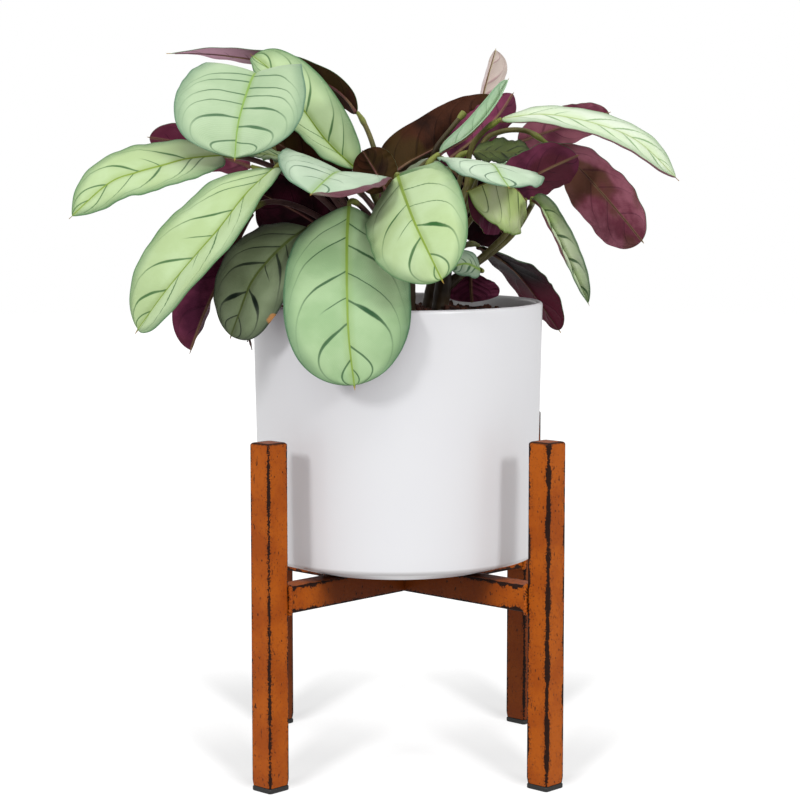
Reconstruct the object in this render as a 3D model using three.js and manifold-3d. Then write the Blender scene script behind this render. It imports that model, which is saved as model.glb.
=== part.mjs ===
// A prayer plant with patterned leaves in a white ceramic pot, on a low stand of square tube.
// Millimetres, +Z up. The origin is the middle of the whole object's base.
import * as THREE from 'three';
import { mergeVertices } from 'three/addons/utils/BufferGeometryUtils.js';
import Module from 'manifold-3d';

const wasm = await Module();
wasm.setup();

// Clearance between pieces that touch.
const GAP = 0.3;

// Stand: legs of square tube on a square plan, joined by a cross that carries the pot.
const TUBE = 16;
const TUBE_WALL = 1.5;
const LEG_HEIGHT = 207.9;
const LEG_RADIUS = 115.3;
const STAND_TURN = THREE.MathUtils.degToRad(1.66);
const CROSS_TOP = 121.7;
const FOOT_HEIGHT = 3;
const FOOT_PLUG = 12;

// Pot: a slightly tapered cylinder. Its underside slopes up from a flat middle to a small rounded edge.
const POT_X = -3.7;
const POT_BASE = CROSS_TOP + GAP;
const POT_HEIGHT = 163.2;
const POT_RIM_RADIUS = 89.1;
const POT_FOOT_RADIUS = 85.6;
const POT_WALL = 4;
const POT_FLOOR = 6;
const POT_FLAT_RADIUS = 61;
const POT_RISE = 6.5;
const POT_SLOPE = 16.5;
const POT_EDGE = 3;
const POT_INNER_EDGE = 14;
const POT_SIDES = 56;

// Soil: its surface lies below the rim and is a little higher in the middle.
const SOIL_DROP = 6;
const SOIL_TOP = POT_BASE + POT_HEIGHT - SOIL_DROP;
const SOIL_CROWN = 2;
const SOIL_SHOULDER = 0.6;
const SOIL_CLEARANCE = 1;
const SOIL_SIDES = 32;

// Shoots: a short stem of wrapped sheaths that stands in a plain hole in the soil, and its leaf stalks.
const STEM_RADIUS = 5;
const STEM_TOP_RADIUS = 3.6;
const STEM_DEPTH = 18;
const STEM_RISE = 30;
const STEM_SIDES = 8;
const STALK_RADIUS = 1.6;
const STALK_FOOT_RADIUS = 2.2;
const STALK_END_RADIUS = 1.3;
const STALK_GAP = 0.7;
const PULVINUS_RADIUS = 2.1;
const PULVINUS_LENGTH = 11;
const STALK_SIDES = 6;
const STALK_STEPS = 9;

// Stalks leave their stem at heights that step up, over and over. One with no route of its own follows a
// curve that sets off along the stem and comes in along the rib.
const LEAVE_LOWEST = 6;
const LEAVE_STEP = 3;
const LEAVE_COUNT = 7;
const SET_OFF_SHARE = 0.42;
const COME_IN_SHARE = 0.3;
const COME_IN_LIMIT = 30;

// Leaf blades: the body, with round ends, and the short point past it. A curl of NO_CURL degrees is flat.
const BLADE_THICKNESS = 0.8;
const BLADE_STEPS = 11;
const BLADE_ACROSS = [-1, -0.5, 0, 0.5, 1];
const BODY_SHARE = 0.975;
const POINT_HALF_WIDTH = 1.4;
const END_SHARPNESS = 2.6;
const END_ROUNDNESS = 0.52;
const LAST_STEP_SHARE = 0.4;
const NO_CURL = 0.01;

// Leaves are laid out by how they look from one standing point in front of the plant.
// A place is [across, down, back]: picture units out of 800, and mm behind the stand's axis.
const EYE = {
  x: -2.4,
  distance: 1431.9,
  height: 377.6,
  tilt: 0.106,
  focal: 2325.5,
  across: 400,
  down: 397.7,
};
const TENSION = 0.5;

function place([across, down, back]) {
  const right = (across - EYE.across) / EYE.focal;
  const up = (EYE.down - down) / EYE.focal;
  const run = Math.cos(EYE.tilt) + up * Math.sin(EYE.tilt);
  const rise = up * Math.cos(EYE.tilt) - Math.sin(EYE.tilt);
  const depth = (EYE.distance + back) / run;
  return new THREE.Vector3(EYE.x + right * depth, back, EYE.height + rise * depth);
}

// Where each shoot leaves the soil, and how far its top leans from there.
const SHOOTS = {
  left: { at: [-14, 0], lean: [-6, 0] },
  front: { at: [2, -16], lean: [0, -5] },
  middle: { at: [22, -4], lean: [4, 0] },
  right: { at: [16, 18], lean: [6, 3] },
  back: { at: [-6, 22], lean: [-2, 7] },
};

// Each leaf: the shoot it grows from, its colour, its full width, its rib from base to tip and the way its
// upper face looks, at the tip too where that turns. The fold is how far its right and left halves are
// raised from flat at the rib and the curl how far they bend on to the edge, in degrees, seen from the base
// to the tip with the upper face up. Widest over 1 is broader towards the tip, and taper is how pointed the
// tip is. A stalk is its own route.
const LEAVES = [
  { name: 'leaf_front_broad', shoot: 'front', tone: 'pale', width: 74, fold: [6, 6], curl: -14, widest: 1.3,
    rib: [[349, 206, -34], [347, 238, -58], [347, 292, -87], [349, 340, -102], [355, 391, -107]],
    face: [0.02, -1, 0.35] },
  { name: 'leaf_front_centre', shoot: 'front', tone: 'pale', width: 64, fold: [2, 4], curl: -20,
    rib: [[398, 176, -28], [404, 194, -62], [415, 223, -98], [430, 255, -119], [444, 284, -128]],
    face: [-0.42, -0.72, 0.48] },
  { name: 'leaf_front_level', shoot: 'front', tone: 'silver', width: 67, fold: [28, 2], curl: -12, widest: 1.2,
    rib: [[352, 183, 14], [345, 175, -12], [336, 173, -42], [325, 181, -72], [310, 195.5, -98]],
    face: [0.02, -0.1, 1], faceTip: [0, -0.3, 1] },
  { name: 'leaf_left_long', shoot: 'left', tone: 'pale', width: 68, fold: [2, 38], curl: -8, widest: 1.05,
    rib: [[274, 169, -42], [246, 195, -58], [221, 227, -68],
      [193, 259, -74], [166, 291.5, -76], [135, 334, -72]],
    face: [-0.44, -0.82, 0.37] },
  { name: 'leaf_left_shaded', shoot: 'left', tone: 'deep', width: 50, fold: [4, 4], curl: -10,
    rib: [[308, 228, -42], [290, 240, -54], [270, 259, -62],
      [252, 282, -66], [240, 312, -66], [230, 339, -60]],
    face: [-0.4, -0.85, 0.25] },
  { name: 'leaf_left_tucked', shoot: 'left', tone: 'plum', width: 44, fold: [40, 40],
    rib: [[250, 215, -20], [228, 262, -36], [206, 310, -44], [189.6, 354, -46]],
    face: [-0.6, 0.6, 0.3] },
  { name: 'leaf_far_left', shoot: 'left', tone: 'pale', width: 48, fold: [12, 6], curl: -10, widest: 0.9,
    taper: 0.8,
    rib: [[222, 156, -8], [189, 159, -20], [162, 166, -28],
      [136.5, 173, -34], [108.5, 184, -40], [69, 219, -46]],
    face: [-0.25, -0.6, 0.75] },
  { name: 'leaf_left_plum', shoot: 'back', tone: 'plum', width: 30, fold: [6, 6],
    rib: [[250, 166, 30], [215, 154, 32], [180, 143, 32], [147, 137, 30]],
    face: [-0.2, 0.75, 0.6] },
  { name: 'leaf_top_left', shoot: 'back', tone: 'silver', width: 81, fold: [24, 16], curl: -14, widest: 1.4,
    stalk: [[300, 230, 22], [276, 160, 29]],
    rib: [[264, 92, 20], [256, 74, 2], [246, 96, -14], [238, 126, -30], [234.6, 161.4, -40]],
    face: [0, 0.4, 1], faceTip: [-0.15, -1.2, 0.45] },
  { name: 'leaf_left_sliver', shoot: 'left', tone: 'pale', width: 24, fold: [4, 4],
    rib: [[292, 161, -6], [268, 155, -12], [247, 155, -18]],
    face: [0, -0.35, 0.94] },
  { name: 'leaf_top_green', shoot: 'back', tone: 'pale', width: 44, fold: [24, 44], curl: -8, taper: 0.6,
    rib: [[355, 169, 22], [326, 141, 36], [298, 103, 50], [272, 72, 62], [250, 54, 70]],
    face: [0.1, -0.9, 0.4] },
  { name: 'leaf_top_plum', shoot: 'back', tone: 'plum', width: 26, fold: [6, 6], taper: 0.8,
    rib: [[357, 112, 84], [348, 100, 92], [331, 86, 98], [300, 73, 102], [262, 61.5, 104], [225, 55.5, 106],
      [198, 53.5, 106], [166.4, 53.6, 106]],
    face: [0.45, 0.75, 0.35], faceTip: [0, 0.06, 1] },
  { name: 'leaf_under_left', shoot: 'back', tone: 'umber', width: 44, fold: [6, 6],
    rib: [[350, 186, 46], [322, 171, 50], [292, 152, 52], [270, 138, 54]],
    face: [-0.3, 0.8, 0.5] },
  { name: 'leaf_centre_umber', shoot: 'back', tone: 'umber', width: 42, fold: [46, 36], widest: 0.8,
    rib: [[386, 177, 26], [408, 162, 34], [436, 147, 44], [464, 127, 54], [482, 111, 60], [496, 94, 62]],
    face: [-0.3, 0.75, 0.6] },
  { name: 'leaf_centre_small', shoot: 'front', tone: 'umber', width: 28, fold: [6, 6],
    rib: [[386, 190, 8], [375, 171, 12], [362, 150, 14]],
    face: [0, 0.9, 0.4] },
  { name: 'leaf_new_spear', shoot: 'right', tone: 'rose', width: 34, fold: [66, 66], widest: 2.2,
    rib: [[474, 130, 77], [480, 108, 80], [487, 80, 82], [496, 48, 84]],
    face: [0.3, 0.9, 0] },
  { name: 'leaf_narrow_green', shoot: 'right', tone: 'silver', width: 18, fold: [62, 62],
    rib: [[440, 153, 8], [468, 136, 12], [493, 108, 18], [509, 78, 22]],
    face: [-0.2, -0.8, 0.5] },
  { name: 'leaf_folded_plum', shoot: 'right', tone: 'plum', width: 34, fold: [45, 45],
    rib: [[450, 158, 34], [476, 138, 40], [498, 116, 46], [514, 92, 50]],
    face: [0.3, 0.7, 0.5] },
  { name: 'leaf_right_long', shoot: 'right', tone: 'pale', width: 40, fold: [6, 6], curl: -10, widest: 1.05,
    taper: 0.75,
    stalk: [[464, 200, 22], [470, 152, 22], [484, 131, 18]],
    rib: [[502, 119, 10], [545, 115, 2], [595, 124, -4], [638, 142, -10], [679, 181, -14]],
    face: [0.1, -0.36, 0.93] },
  { name: 'leaf_right_plum', shoot: 'right', tone: 'plum', width: 28, fold: [8, 8],
    rib: [[518, 142, 52], [550, 131, 54], [582, 122, 52], [611, 112, 48]],
    face: [0.1, 0.8, 0.55] },
  { name: 'leaf_far_right', shoot: 'right', tone: 'plum', width: 50, fold: [-8, 4], curl: -6, widest: 1.5,
    stalk: [[470, 200, 30], [482, 146, 40], [500, 132, 44], [526, 131, 40]],
    rib: [[548, 144, 34], [577, 166, 30], [602, 193, 24], [626, 221, 16], [644, 243.5, 10]],
    face: [0.35, 0.75, 0.5] },
  { name: 'leaf_right_shaded', shoot: 'right', tone: 'deep', width: 30, fold: [4, 4],
    rib: [[474, 152, 30], [500, 152, 26], [530, 155, 20]],
    face: [0, -0.5, 0.86] },
  { name: 'leaf_right_level', shoot: 'middle', tone: 'silver', width: 62, fold: [0, 6], curl: -14,
    rib: [[477, 172, 4], [485, 164, -22], [494, 166, -52], [502, 178, -75], [509.5, 188.5, -88]],
    face: [0.24, -0.2, 0.95] },
  { name: 'leaf_right_vivid', shoot: 'middle', tone: 'plum', width: 40, fold: [6, 6],
    rib: [[502, 193, 12], [524, 181, 10], [550, 168, 6], [579, 155, 2]],
    face: [-0.1, 0.75, 0.65] },
  { name: 'leaf_round', shoot: 'middle', tone: 'fresh', width: 66, fold: [-76, -74],
    stalk: [[500, 240, 14], [521, 212, 15]],
    rib: [[525, 199, 6], [514, 187, -8], [494, 181, -30], [466, 191.5, -50]],
    face: [0, 0, 1] },
  { name: 'leaf_round_back', shoot: 'back', tone: 'umber', width: 48, fold: [6, 6],
    rib: [[452, 168, 86], [468, 190, 82], [488, 215, 76], [509, 241, 70]],
    face: [0.2, 0.75, 0.3] },
  { name: 'leaf_right_hanging', shoot: 'middle', tone: 'green', width: 25, fold: [62, 62], taper: 0.8,
    stalk: [[505, 242, 20], [530, 208, 8]],
    rib: [[533, 199, -9], [542, 208, -16], [553, 229, -24],
      [566, 255, -30], [578, 282, -34], [589.5, 306, -34]],
    face: [0.17, -0.95, 0.3] },
  { name: 'leaf_rim', shoot: 'middle', tone: 'plum', width: 50, fold: [5, 5],
    rib: [[479, 246, 25], [505, 262, 45], [528, 286, 62], [561, 333, 66]],
    face: [0.6, 0.4, 0.7] },
  { name: 'leaf_low', shoot: 'middle', tone: 'plum', width: 36, fold: [10, 10], widest: 2.2,
    rib: [[471, 270, 20], [471, 287, 26], [472, 303, 30]],
    face: [0.1, 0.9, 0.2] },
  { name: 'leaf_small_grey', shoot: 'middle', tone: 'silver', width: 20, fold: [4, 4],
    rib: [[480, 270, -20], [466, 264, -26], [449, 268, -30]],
    face: [0, -0.8, 0.6] },
  { name: 'leaf_centre_dark', shoot: 'left', tone: 'umber', width: 56, fold: [6, 6],
    rib: [[344, 244, 12], [304, 216, 14], [258, 192, 12]],
    face: [0.1, 0.95, 0.25] },
  { name: 'leaf_back_left', shoot: 'back', tone: 'green', width: 56, fold: [6, 6], curl: -10,
    rib: [[305, 205, 66], [280, 186, 92], [256, 186, 116], [238, 206, 136]],
    face: [-0.2, 0.4, 0.9] },
  { name: 'leaf_back_centre', shoot: 'back', tone: 'green', width: 66, fold: [6, 6], curl: -10,
    rib: [[399, 192, 62], [402, 170, 92], [402, 161, 118], [398, 173, 142], [392, 206, 160]],
    face: [0, 0.4, 0.9] },
  { name: 'leaf_back_right', shoot: 'back', tone: 'green', width: 54, fold: [6, 6], curl: -10,
    stalk: [[422, 236, 68], [441, 209, 99]],
    rib: [[474, 170, 112], [499, 166, 128], [520, 176, 140], [534, 199, 150]],
    face: [0.3, 0.4, 0.9] },
  { name: 'leaf_back_low', shoot: 'back', tone: 'green', width: 50, fold: [6, 6], curl: -10,
    rib: [[330, 235, 56], [305, 228, 84], [280, 240, 108], [262, 270, 122]],
    face: [-0.3, 0.5, 0.8] },
];

const MATERIALS = {
  paint: new THREE.MeshStandardMaterial({ color: 0x9c4a1a, roughness: 0.5, metalness: 0.2 }),
  glaze: new THREE.MeshStandardMaterial({ color: 0xe9e9ec, roughness: 0.25, metalness: 0 }),
  foot: new THREE.MeshStandardMaterial({ color: 0x161616, roughness: 0.6, metalness: 0 }),
  soil: new THREE.MeshStandardMaterial({ color: 0x3a2118, roughness: 1, metalness: 0 }),
  stalk: new THREE.MeshStandardMaterial({ color: 0x6e6a34, roughness: 0.6, metalness: 0 }),
  pale: new THREE.MeshStandardMaterial({ color: 0xb4d8a6, roughness: 0.5, metalness: 0 }),
  silver: new THREE.MeshStandardMaterial({ color: 0xb9d8c4, roughness: 0.5, metalness: 0 }),
  fresh: new THREE.MeshStandardMaterial({ color: 0xb6d070, roughness: 0.5, metalness: 0 }),
  green: new THREE.MeshStandardMaterial({ color: 0x8fc48f, roughness: 0.5, metalness: 0 }),
  deep: new THREE.MeshStandardMaterial({ color: 0x55664a, roughness: 0.5, metalness: 0 }),
  plum: new THREE.MeshStandardMaterial({ color: 0x6a3350, roughness: 0.5, metalness: 0 }),
  umber: new THREE.MeshStandardMaterial({ color: 0x4e2a25, roughness: 0.5, metalness: 0 }),
  rose: new THREE.MeshStandardMaterial({ color: 0xc9a3a8, roughness: 0.5, metalness: 0 }),
};

const plant = new THREE.Group();

function addMesh(name, geometry, material) {
  const mesh = new THREE.Mesh(geometry, material);
  mesh.name = name;
  plant.add(mesh);
  return mesh;
}

// A closed geometry as a solid, and a solid as a geometry.
function solidOf(geometry) {
  const bare = new THREE.BufferGeometry();
  bare.setAttribute('position', geometry.getAttribute('position'));
  bare.setIndex(geometry.index);
  const merged = mergeVertices(bare, 1e-4);
  return new wasm.Manifold(new wasm.Mesh({
    numProp: 3,
    vertProperties: merged.attributes.position.array,
    triVerts: new Uint32Array(merged.index.array),
  }));
}

function geometryOf(solid) {
  const mesh = solid.getMesh();
  const geometry = new THREE.BufferGeometry();
  geometry.setAttribute('position', new THREE.BufferAttribute(new Float32Array(mesh.vertProperties), 3));
  geometry.setIndex(new THREE.BufferAttribute(new Uint32Array(mesh.triVerts), 1));
  geometry.computeVertexNormals();
  return geometry;
}

// Stand
function boxAt(width, depth, low, high) {
  const box = new THREE.BoxGeometry(width, depth, high - low);
  box.translate(0, 0, (low + high) / 2);
  return box;
}

function legGeometry() {
  const bore = TUBE - 2 * TUBE_WALL;
  const outside = solidOf(boxAt(TUBE, TUBE, FOOT_HEIGHT + GAP, LEG_HEIGHT));
  const inside = solidOf(boxAt(bore, bore, 0, LEG_HEIGHT - TUBE_WALL));
  return geometryOf(outside.subtract(inside));
}

function footGeometry() {
  const plug = TUBE - 2 * TUBE_WALL - 2 * GAP;
  const pad = solidOf(boxAt(TUBE, TUBE, 0, FOOT_HEIGHT));
  return geometryOf(pad.add(solidOf(boxAt(plug, plug, FOOT_HEIGHT / 2, FOOT_HEIGHT + FOOT_PLUG))));
}

// A length of tube from x = from to x = to, its top at the cross's top.
function beamGeometry(from, to) {
  const outline = new THREE.Shape();
  const half = TUBE / 2;
  const bore = half - TUBE_WALL;
  outline.moveTo(-half, -half).lineTo(half, -half).lineTo(half, half).lineTo(-half, half).closePath();
  const hollow = new THREE.Path();
  hollow.moveTo(-bore, -bore).lineTo(-bore, bore).lineTo(bore, bore).lineTo(bore, -bore).closePath();
  outline.holes.push(hollow);
  const tube = new THREE.ExtrudeGeometry(outline, { depth: to - from, bevelEnabled: false });
  tube.rotateY(Math.PI / 2);
  tube.translate(from, 0, CROSS_TOP - half);
  return tube;
}

// The feet, legs and cross turn together from the straight view.
function addStand() {
  const corners = { front_right: -45, back_right: 45, back_left: 135, front_left: -135 };
  for (const [corner, degrees] of Object.entries(corners)) {
    const turn = THREE.MathUtils.degToRad(degrees) + STAND_TURN;
    const leg = addMesh(`leg_${corner}`, legGeometry(), MATERIALS.paint);
    const foot = addMesh(`foot_${corner}`, footGeometry(), MATERIALS.foot);
    for (const piece of [leg, foot]) {
      piece.position.set(LEG_RADIUS * Math.cos(turn), LEG_RADIUS * Math.sin(turn), 0);
      piece.rotation.z = turn;
    }
  }
  const reach = LEG_RADIUS - TUBE / 2 - GAP;
  const beams = {
    beam_through: { from: -reach, to: reach, degrees: -45 },
    beam_half_right: { from: TUBE / 2 + GAP, to: reach, degrees: 45 },
    beam_half_left: { from: TUBE / 2 + GAP, to: reach, degrees: 225 },
  };
  for (const [name, { from, to, degrees }] of Object.entries(beams)) {
    const beam = addMesh(name, beamGeometry(from, to), MATERIALS.paint);
    beam.rotation.z = THREE.MathUtils.degToRad(degrees) + STAND_TURN;
  }
}

// Pot and soil
function potRadius(height) {
  return THREE.MathUtils.lerp(POT_FOOT_RADIUS, POT_RIM_RADIUS, height / POT_HEIGHT);
}

function arcPoints(x, y, radius, fromDegrees, toDegrees, steps) {
  const points = [];
  for (let i = 0; i <= steps; i += 1) {
    const angle = THREE.MathUtils.degToRad(THREE.MathUtils.lerp(fromDegrees, toDegrees, i / steps));
    points.push(new THREE.Vector2(x + radius * Math.cos(angle), y + radius * Math.sin(angle)));
  }
  return points;
}

function potGeometry() {
  const lip = POT_WALL / 2;
  const inner = POT_FOOT_RADIUS - POT_WALL;
  const profile = [
    new THREE.Vector2(0, 0),
    new THREE.Vector2(POT_FLAT_RADIUS, 0),
    ...arcPoints(POT_FOOT_RADIUS - POT_EDGE, POT_RISE + POT_EDGE, POT_EDGE, POT_SLOPE - 90, 0, 3),
    ...arcPoints(POT_RIM_RADIUS - lip, POT_HEIGHT - lip, lip, 0, 180, 4),
    ...arcPoints(inner - POT_INNER_EDGE, POT_FLOOR + POT_INNER_EDGE, POT_INNER_EDGE, 0, -90, 3),
    new THREE.Vector2(0, POT_FLOOR),
  ];
  const pot = new THREE.LatheGeometry(profile, POT_SIDES);
  pot.rotateX(Math.PI / 2);
  pot.translate(POT_X, 0, POT_BASE);
  return pot;
}

function soilGeometry() {
  const low = POT_FLOOR + POT_INNER_EDGE + GAP;
  const high = SOIL_TOP - POT_BASE;
  const lowRadius = potRadius(low) - POT_WALL - SOIL_CLEARANCE;
  const highRadius = potRadius(high) - POT_WALL - SOIL_CLEARANCE;
  const profile = [
    new THREE.Vector2(0, POT_FLOOR + GAP),
    new THREE.Vector2(lowRadius - POT_INNER_EDGE, POT_FLOOR + GAP),
    new THREE.Vector2(lowRadius, low),
    new THREE.Vector2(highRadius, high - SOIL_CROWN),
    new THREE.Vector2(highRadius * SOIL_SHOULDER, high),
    new THREE.Vector2(0, high + SOIL_CROWN),
  ];
  const body = new THREE.LatheGeometry(profile, SOIL_SIDES);
  body.rotateX(Math.PI / 2);
  body.translate(POT_X, 0, POT_BASE);
  let soil = solidOf(body);
  for (const { at } of Object.values(SHOOTS)) {
    const radius = (STEM_RADIUS + GAP) / Math.cos(Math.PI / STEM_SIDES);
    const hole = new THREE.CylinderGeometry(radius, radius, 2 * (STEM_DEPTH + GAP), STEM_SIDES);
    hole.rotateX(Math.PI / 2);
    hole.translate(at[0], at[1], SOIL_TOP);
    soil = soil.subtract(solidOf(hole));
  }
  return geometryOf(soil);
}

// Shoots

// A closed tube through points, with its own radius at each.
function tubeSolid(points, radii, sides) {
  const vertices = [];
  const faces = [];
  const curve = new THREE.CatmullRomCurve3(points);
  const side = new THREE.Vector3(1, 0, 0);
  const other = new THREE.Vector3();
  const last = points.length - 1;
  for (let i = 0; i <= last; i += 1) {
    const tangent = curve.getTangent(i / last);
    side.addScaledVector(tangent, -side.dot(tangent)).normalize();
    other.crossVectors(tangent, side);
    for (let k = 0; k < sides; k += 1) {
      const angle = (2 * Math.PI * k) / sides;
      const vertex = points[i].clone();
      vertex.addScaledVector(side, radii[i] * Math.cos(angle));
      vertex.addScaledVector(other, radii[i] * Math.sin(angle));
      vertices.push(vertex.x, vertex.y, vertex.z);
    }
  }
  for (let i = 0; i < last; i += 1) {
    for (let k = 0; k < sides; k += 1) {
      const a = i * sides + k;
      const b = i * sides + ((k + 1) % sides);
      faces.push(a, b, b + sides, a, b + sides, a + sides);
    }
  }
  for (let k = 1; k < sides - 1; k += 1) {
    faces.push(0, k + 1, k);
    faces.push(last * sides, last * sides + k, last * sides + k + 1);
  }
  const geometry = new THREE.BufferGeometry();
  geometry.setAttribute('position', new THREE.Float32BufferAttribute(vertices, 3));
  geometry.setIndex(faces);
  return solidOf(geometry);
}

function stemPoint(shoot, rise) {
  const share = Math.max(0, rise) / STEM_RISE;
  return new THREE.Vector3(
    shoot.at[0] + shoot.lean[0] * share,
    shoot.at[1] + shoot.lean[1] * share,
    SOIL_TOP + rise,
  );
}

function ribCurve(leaf) {
  return new THREE.CatmullRomCurve3(leaf.rib.map(place), false, 'catmullrom', TENSION);
}

// The stalk rises along its stem and bends over into the blade's rib.
function stalkSolid(leaf, shoot, order) {
  const rib = ribCurve(leaf);
  const along = rib.getTangent(0);
  const top = rib.getPoint(0).addScaledVector(along, -STALK_GAP);
  const foot = stemPoint(shoot, LEAVE_LOWEST + LEAVE_STEP * (order % LEAVE_COUNT));
  const lean = stemPoint(shoot, STEM_RISE).sub(stemPoint(shoot, 0)).normalize();
  const span = top.distanceTo(foot);
  const comeIn = Math.min(COME_IN_LIMIT, COME_IN_SHARE * span);
  const path = leaf.stalk
    ? new THREE.CatmullRomCurve3([foot, ...leaf.stalk.map(place), top], false, 'catmullrom', TENSION)
    : new THREE.CubicBezierCurve3(
      foot,
      foot.clone().addScaledVector(lean, SET_OFF_SHARE * span),
      top.clone().addScaledVector(along, -comeIn),
      top,
    );
  const points = path.getSpacedPoints(STALK_STEPS);
  const length = path.getLength();
  const radii = points.map((point, i) => {
    const left = length * (1 - i / STALK_STEPS);
    const plain = THREE.MathUtils.lerp(STALK_FOOT_RADIUS, STALK_RADIUS, i / STALK_STEPS);
    if (i === STALK_STEPS) return STALK_END_RADIUS;
    return left < PULVINUS_LENGTH ? PULVINUS_RADIUS : plain;
  });
  return tubeSolid(points, radii, STALK_SIDES);
}

function shootGeometry(name, shoot) {
  const heights = [-STEM_DEPTH, -STEM_DEPTH / 2, 0, STEM_RISE / 2, STEM_RISE];
  const radii = [STEM_RADIUS, STEM_RADIUS, STEM_RADIUS, STEM_RADIUS, STEM_TOP_RADIUS];
  let solid = tubeSolid(heights.map((rise) => stemPoint(shoot, rise)), radii, STEM_SIDES);
  LEAVES.filter((leaf) => leaf.shoot === name).forEach((leaf, order) => {
    solid = solid.add(stalkSolid(leaf, shoot, order));
  });
  return geometryOf(solid);
}

// Blades

// Half the blade's width at share u of its rib: an oblong with round ends and a short point.
function halfWidth(leaf, u) {
  const share = Math.min(1, u / BODY_SHARE) ** (leaf.widest ?? 1);
  const roundness = THREE.MathUtils.lerp(END_ROUNDNESS, leaf.taper ?? END_ROUNDNESS, share);
  const body = (1 - Math.abs(2 * share - 1) ** END_SHARPNESS) ** roundness;
  const point = u < BODY_SHARE ? 0 : POINT_HALF_WIDTH * ((1 - u) / (1 - BODY_SHARE));
  return Math.max((leaf.width / 2) * body, point);
}

// A point of the blade's middle surface and the normal there. v runs across from -1 to 1.
function bladePoint(leaf, curve, u, v) {
  const along = curve.getTangentAt(u);
  const face = new THREE.Vector3(...leaf.face);
  if (leaf.faceTip) face.lerp(new THREE.Vector3(...leaf.faceTip), u);
  const side = new THREE.Vector3().crossVectors(along, face).normalize();
  const normal = new THREE.Vector3().crossVectors(side, along);
  const sign = Math.sign(v);
  const out = Math.abs(v);
  const half = halfWidth(leaf, u);
  const fold = sign * sign * THREE.MathUtils.degToRad(leaf.fold[v > 0 ? 0 : 1]);
  const curl = THREE.MathUtils.degToRad(leaf.curl ?? NO_CURL);
  const angle = fold + curl * out;
  const spread = (Math.sin(angle) - Math.sin(fold)) / curl;
  const rise = (Math.cos(fold) - Math.cos(angle)) / curl;
  const point = curve.getPointAt(u);
  point.addScaledVector(side, sign * half * spread);
  point.addScaledVector(normal, half * rise);
  const up = normal.multiplyScalar(Math.cos(angle)).addScaledVector(side, -sign * Math.sin(angle));
  return { point, up };
}

function bladeGeometry(leaf) {
  const curve = ribCurve(leaf);
  const wide = BLADE_ACROSS.length;
  const half = BLADE_THICKNESS / 2;
  const upper = [];
  const lower = [];
  const push = (u, v) => {
    const { point, up } = bladePoint(leaf, curve, u, v);
    upper.push(point.clone().addScaledVector(up, half));
    lower.push(point.clone().addScaledVector(up, -half));
  };
  push(0, 0);
  for (let i = 1; i <= BLADE_STEPS; i += 1) {
    const turn = (Math.PI * i) / (BLADE_STEPS + LAST_STEP_SHARE);
    const u = (BODY_SHARE * (1 - Math.cos(turn))) / 2;
    for (const v of BLADE_ACROSS) push(u, v);
  }
  push(1, 0);

  const tip = upper.length - 1;
  const row = (i, j) => 1 + (i - 1) * wide + j;
  const skin = [];
  for (let j = 0; j < wide - 1; j += 1) {
    skin.push([0, row(1, j + 1), row(1, j)]);
    skin.push([tip, row(BLADE_STEPS, j), row(BLADE_STEPS, j + 1)]);
    for (let i = 1; i < BLADE_STEPS; i += 1) {
      skin.push([row(i, j), row(i, j + 1), row(i + 1, j + 1)]);
      skin.push([row(i, j), row(i + 1, j + 1), row(i + 1, j)]);
    }
  }
  const rows = Array.from({ length: BLADE_STEPS }, (unused, i) => i + 1);
  const near = rows.map((i) => row(i, 0));
  const far = rows.map((i) => row(i, wide - 1)).reverse();
  const edge = [0, ...near, tip, ...far];

  const count = upper.length;
  const faces = [];
  for (const [a, b, c] of skin) {
    faces.push(a, b, c);
    faces.push(count + a, count + c, count + b);
  }
  edge.forEach((a, k) => {
    const b = edge[(k + 1) % edge.length];
    faces.push(a, count + b, count + a);
    faces.push(a, b, count + b);
  });
  const geometry = new THREE.BufferGeometry();
  const vertices = [...upper, ...lower].flatMap((vertex) => vertex.toArray());
  geometry.setAttribute('position', new THREE.Float32BufferAttribute(vertices, 3));
  geometry.setIndex(faces);
  geometry.computeVertexNormals();
  return geometry;
}

addStand();
addMesh('pot', potGeometry(), MATERIALS.glaze);
addMesh('soil', soilGeometry(), MATERIALS.soil);
for (const [name, shoot] of Object.entries(SHOOTS)) {
  addMesh(`shoot_${name}`, shootGeometry(name, shoot), MATERIALS.stalk);
}
for (const leaf of LEAVES) addMesh(leaf.name, bladeGeometry(leaf), MATERIALS[leaf.tone]);

// The middle of the base goes to the origin.
const bounds = new THREE.Box3().setFromObject(plant, true);
const middle = bounds.getCenter(new THREE.Vector3());
plant.position.set(-middle.x, -middle.y, -bounds.min.z);

const part = new THREE.Group();
part.add(plant);

export default part;
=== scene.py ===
import math
import random

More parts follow.
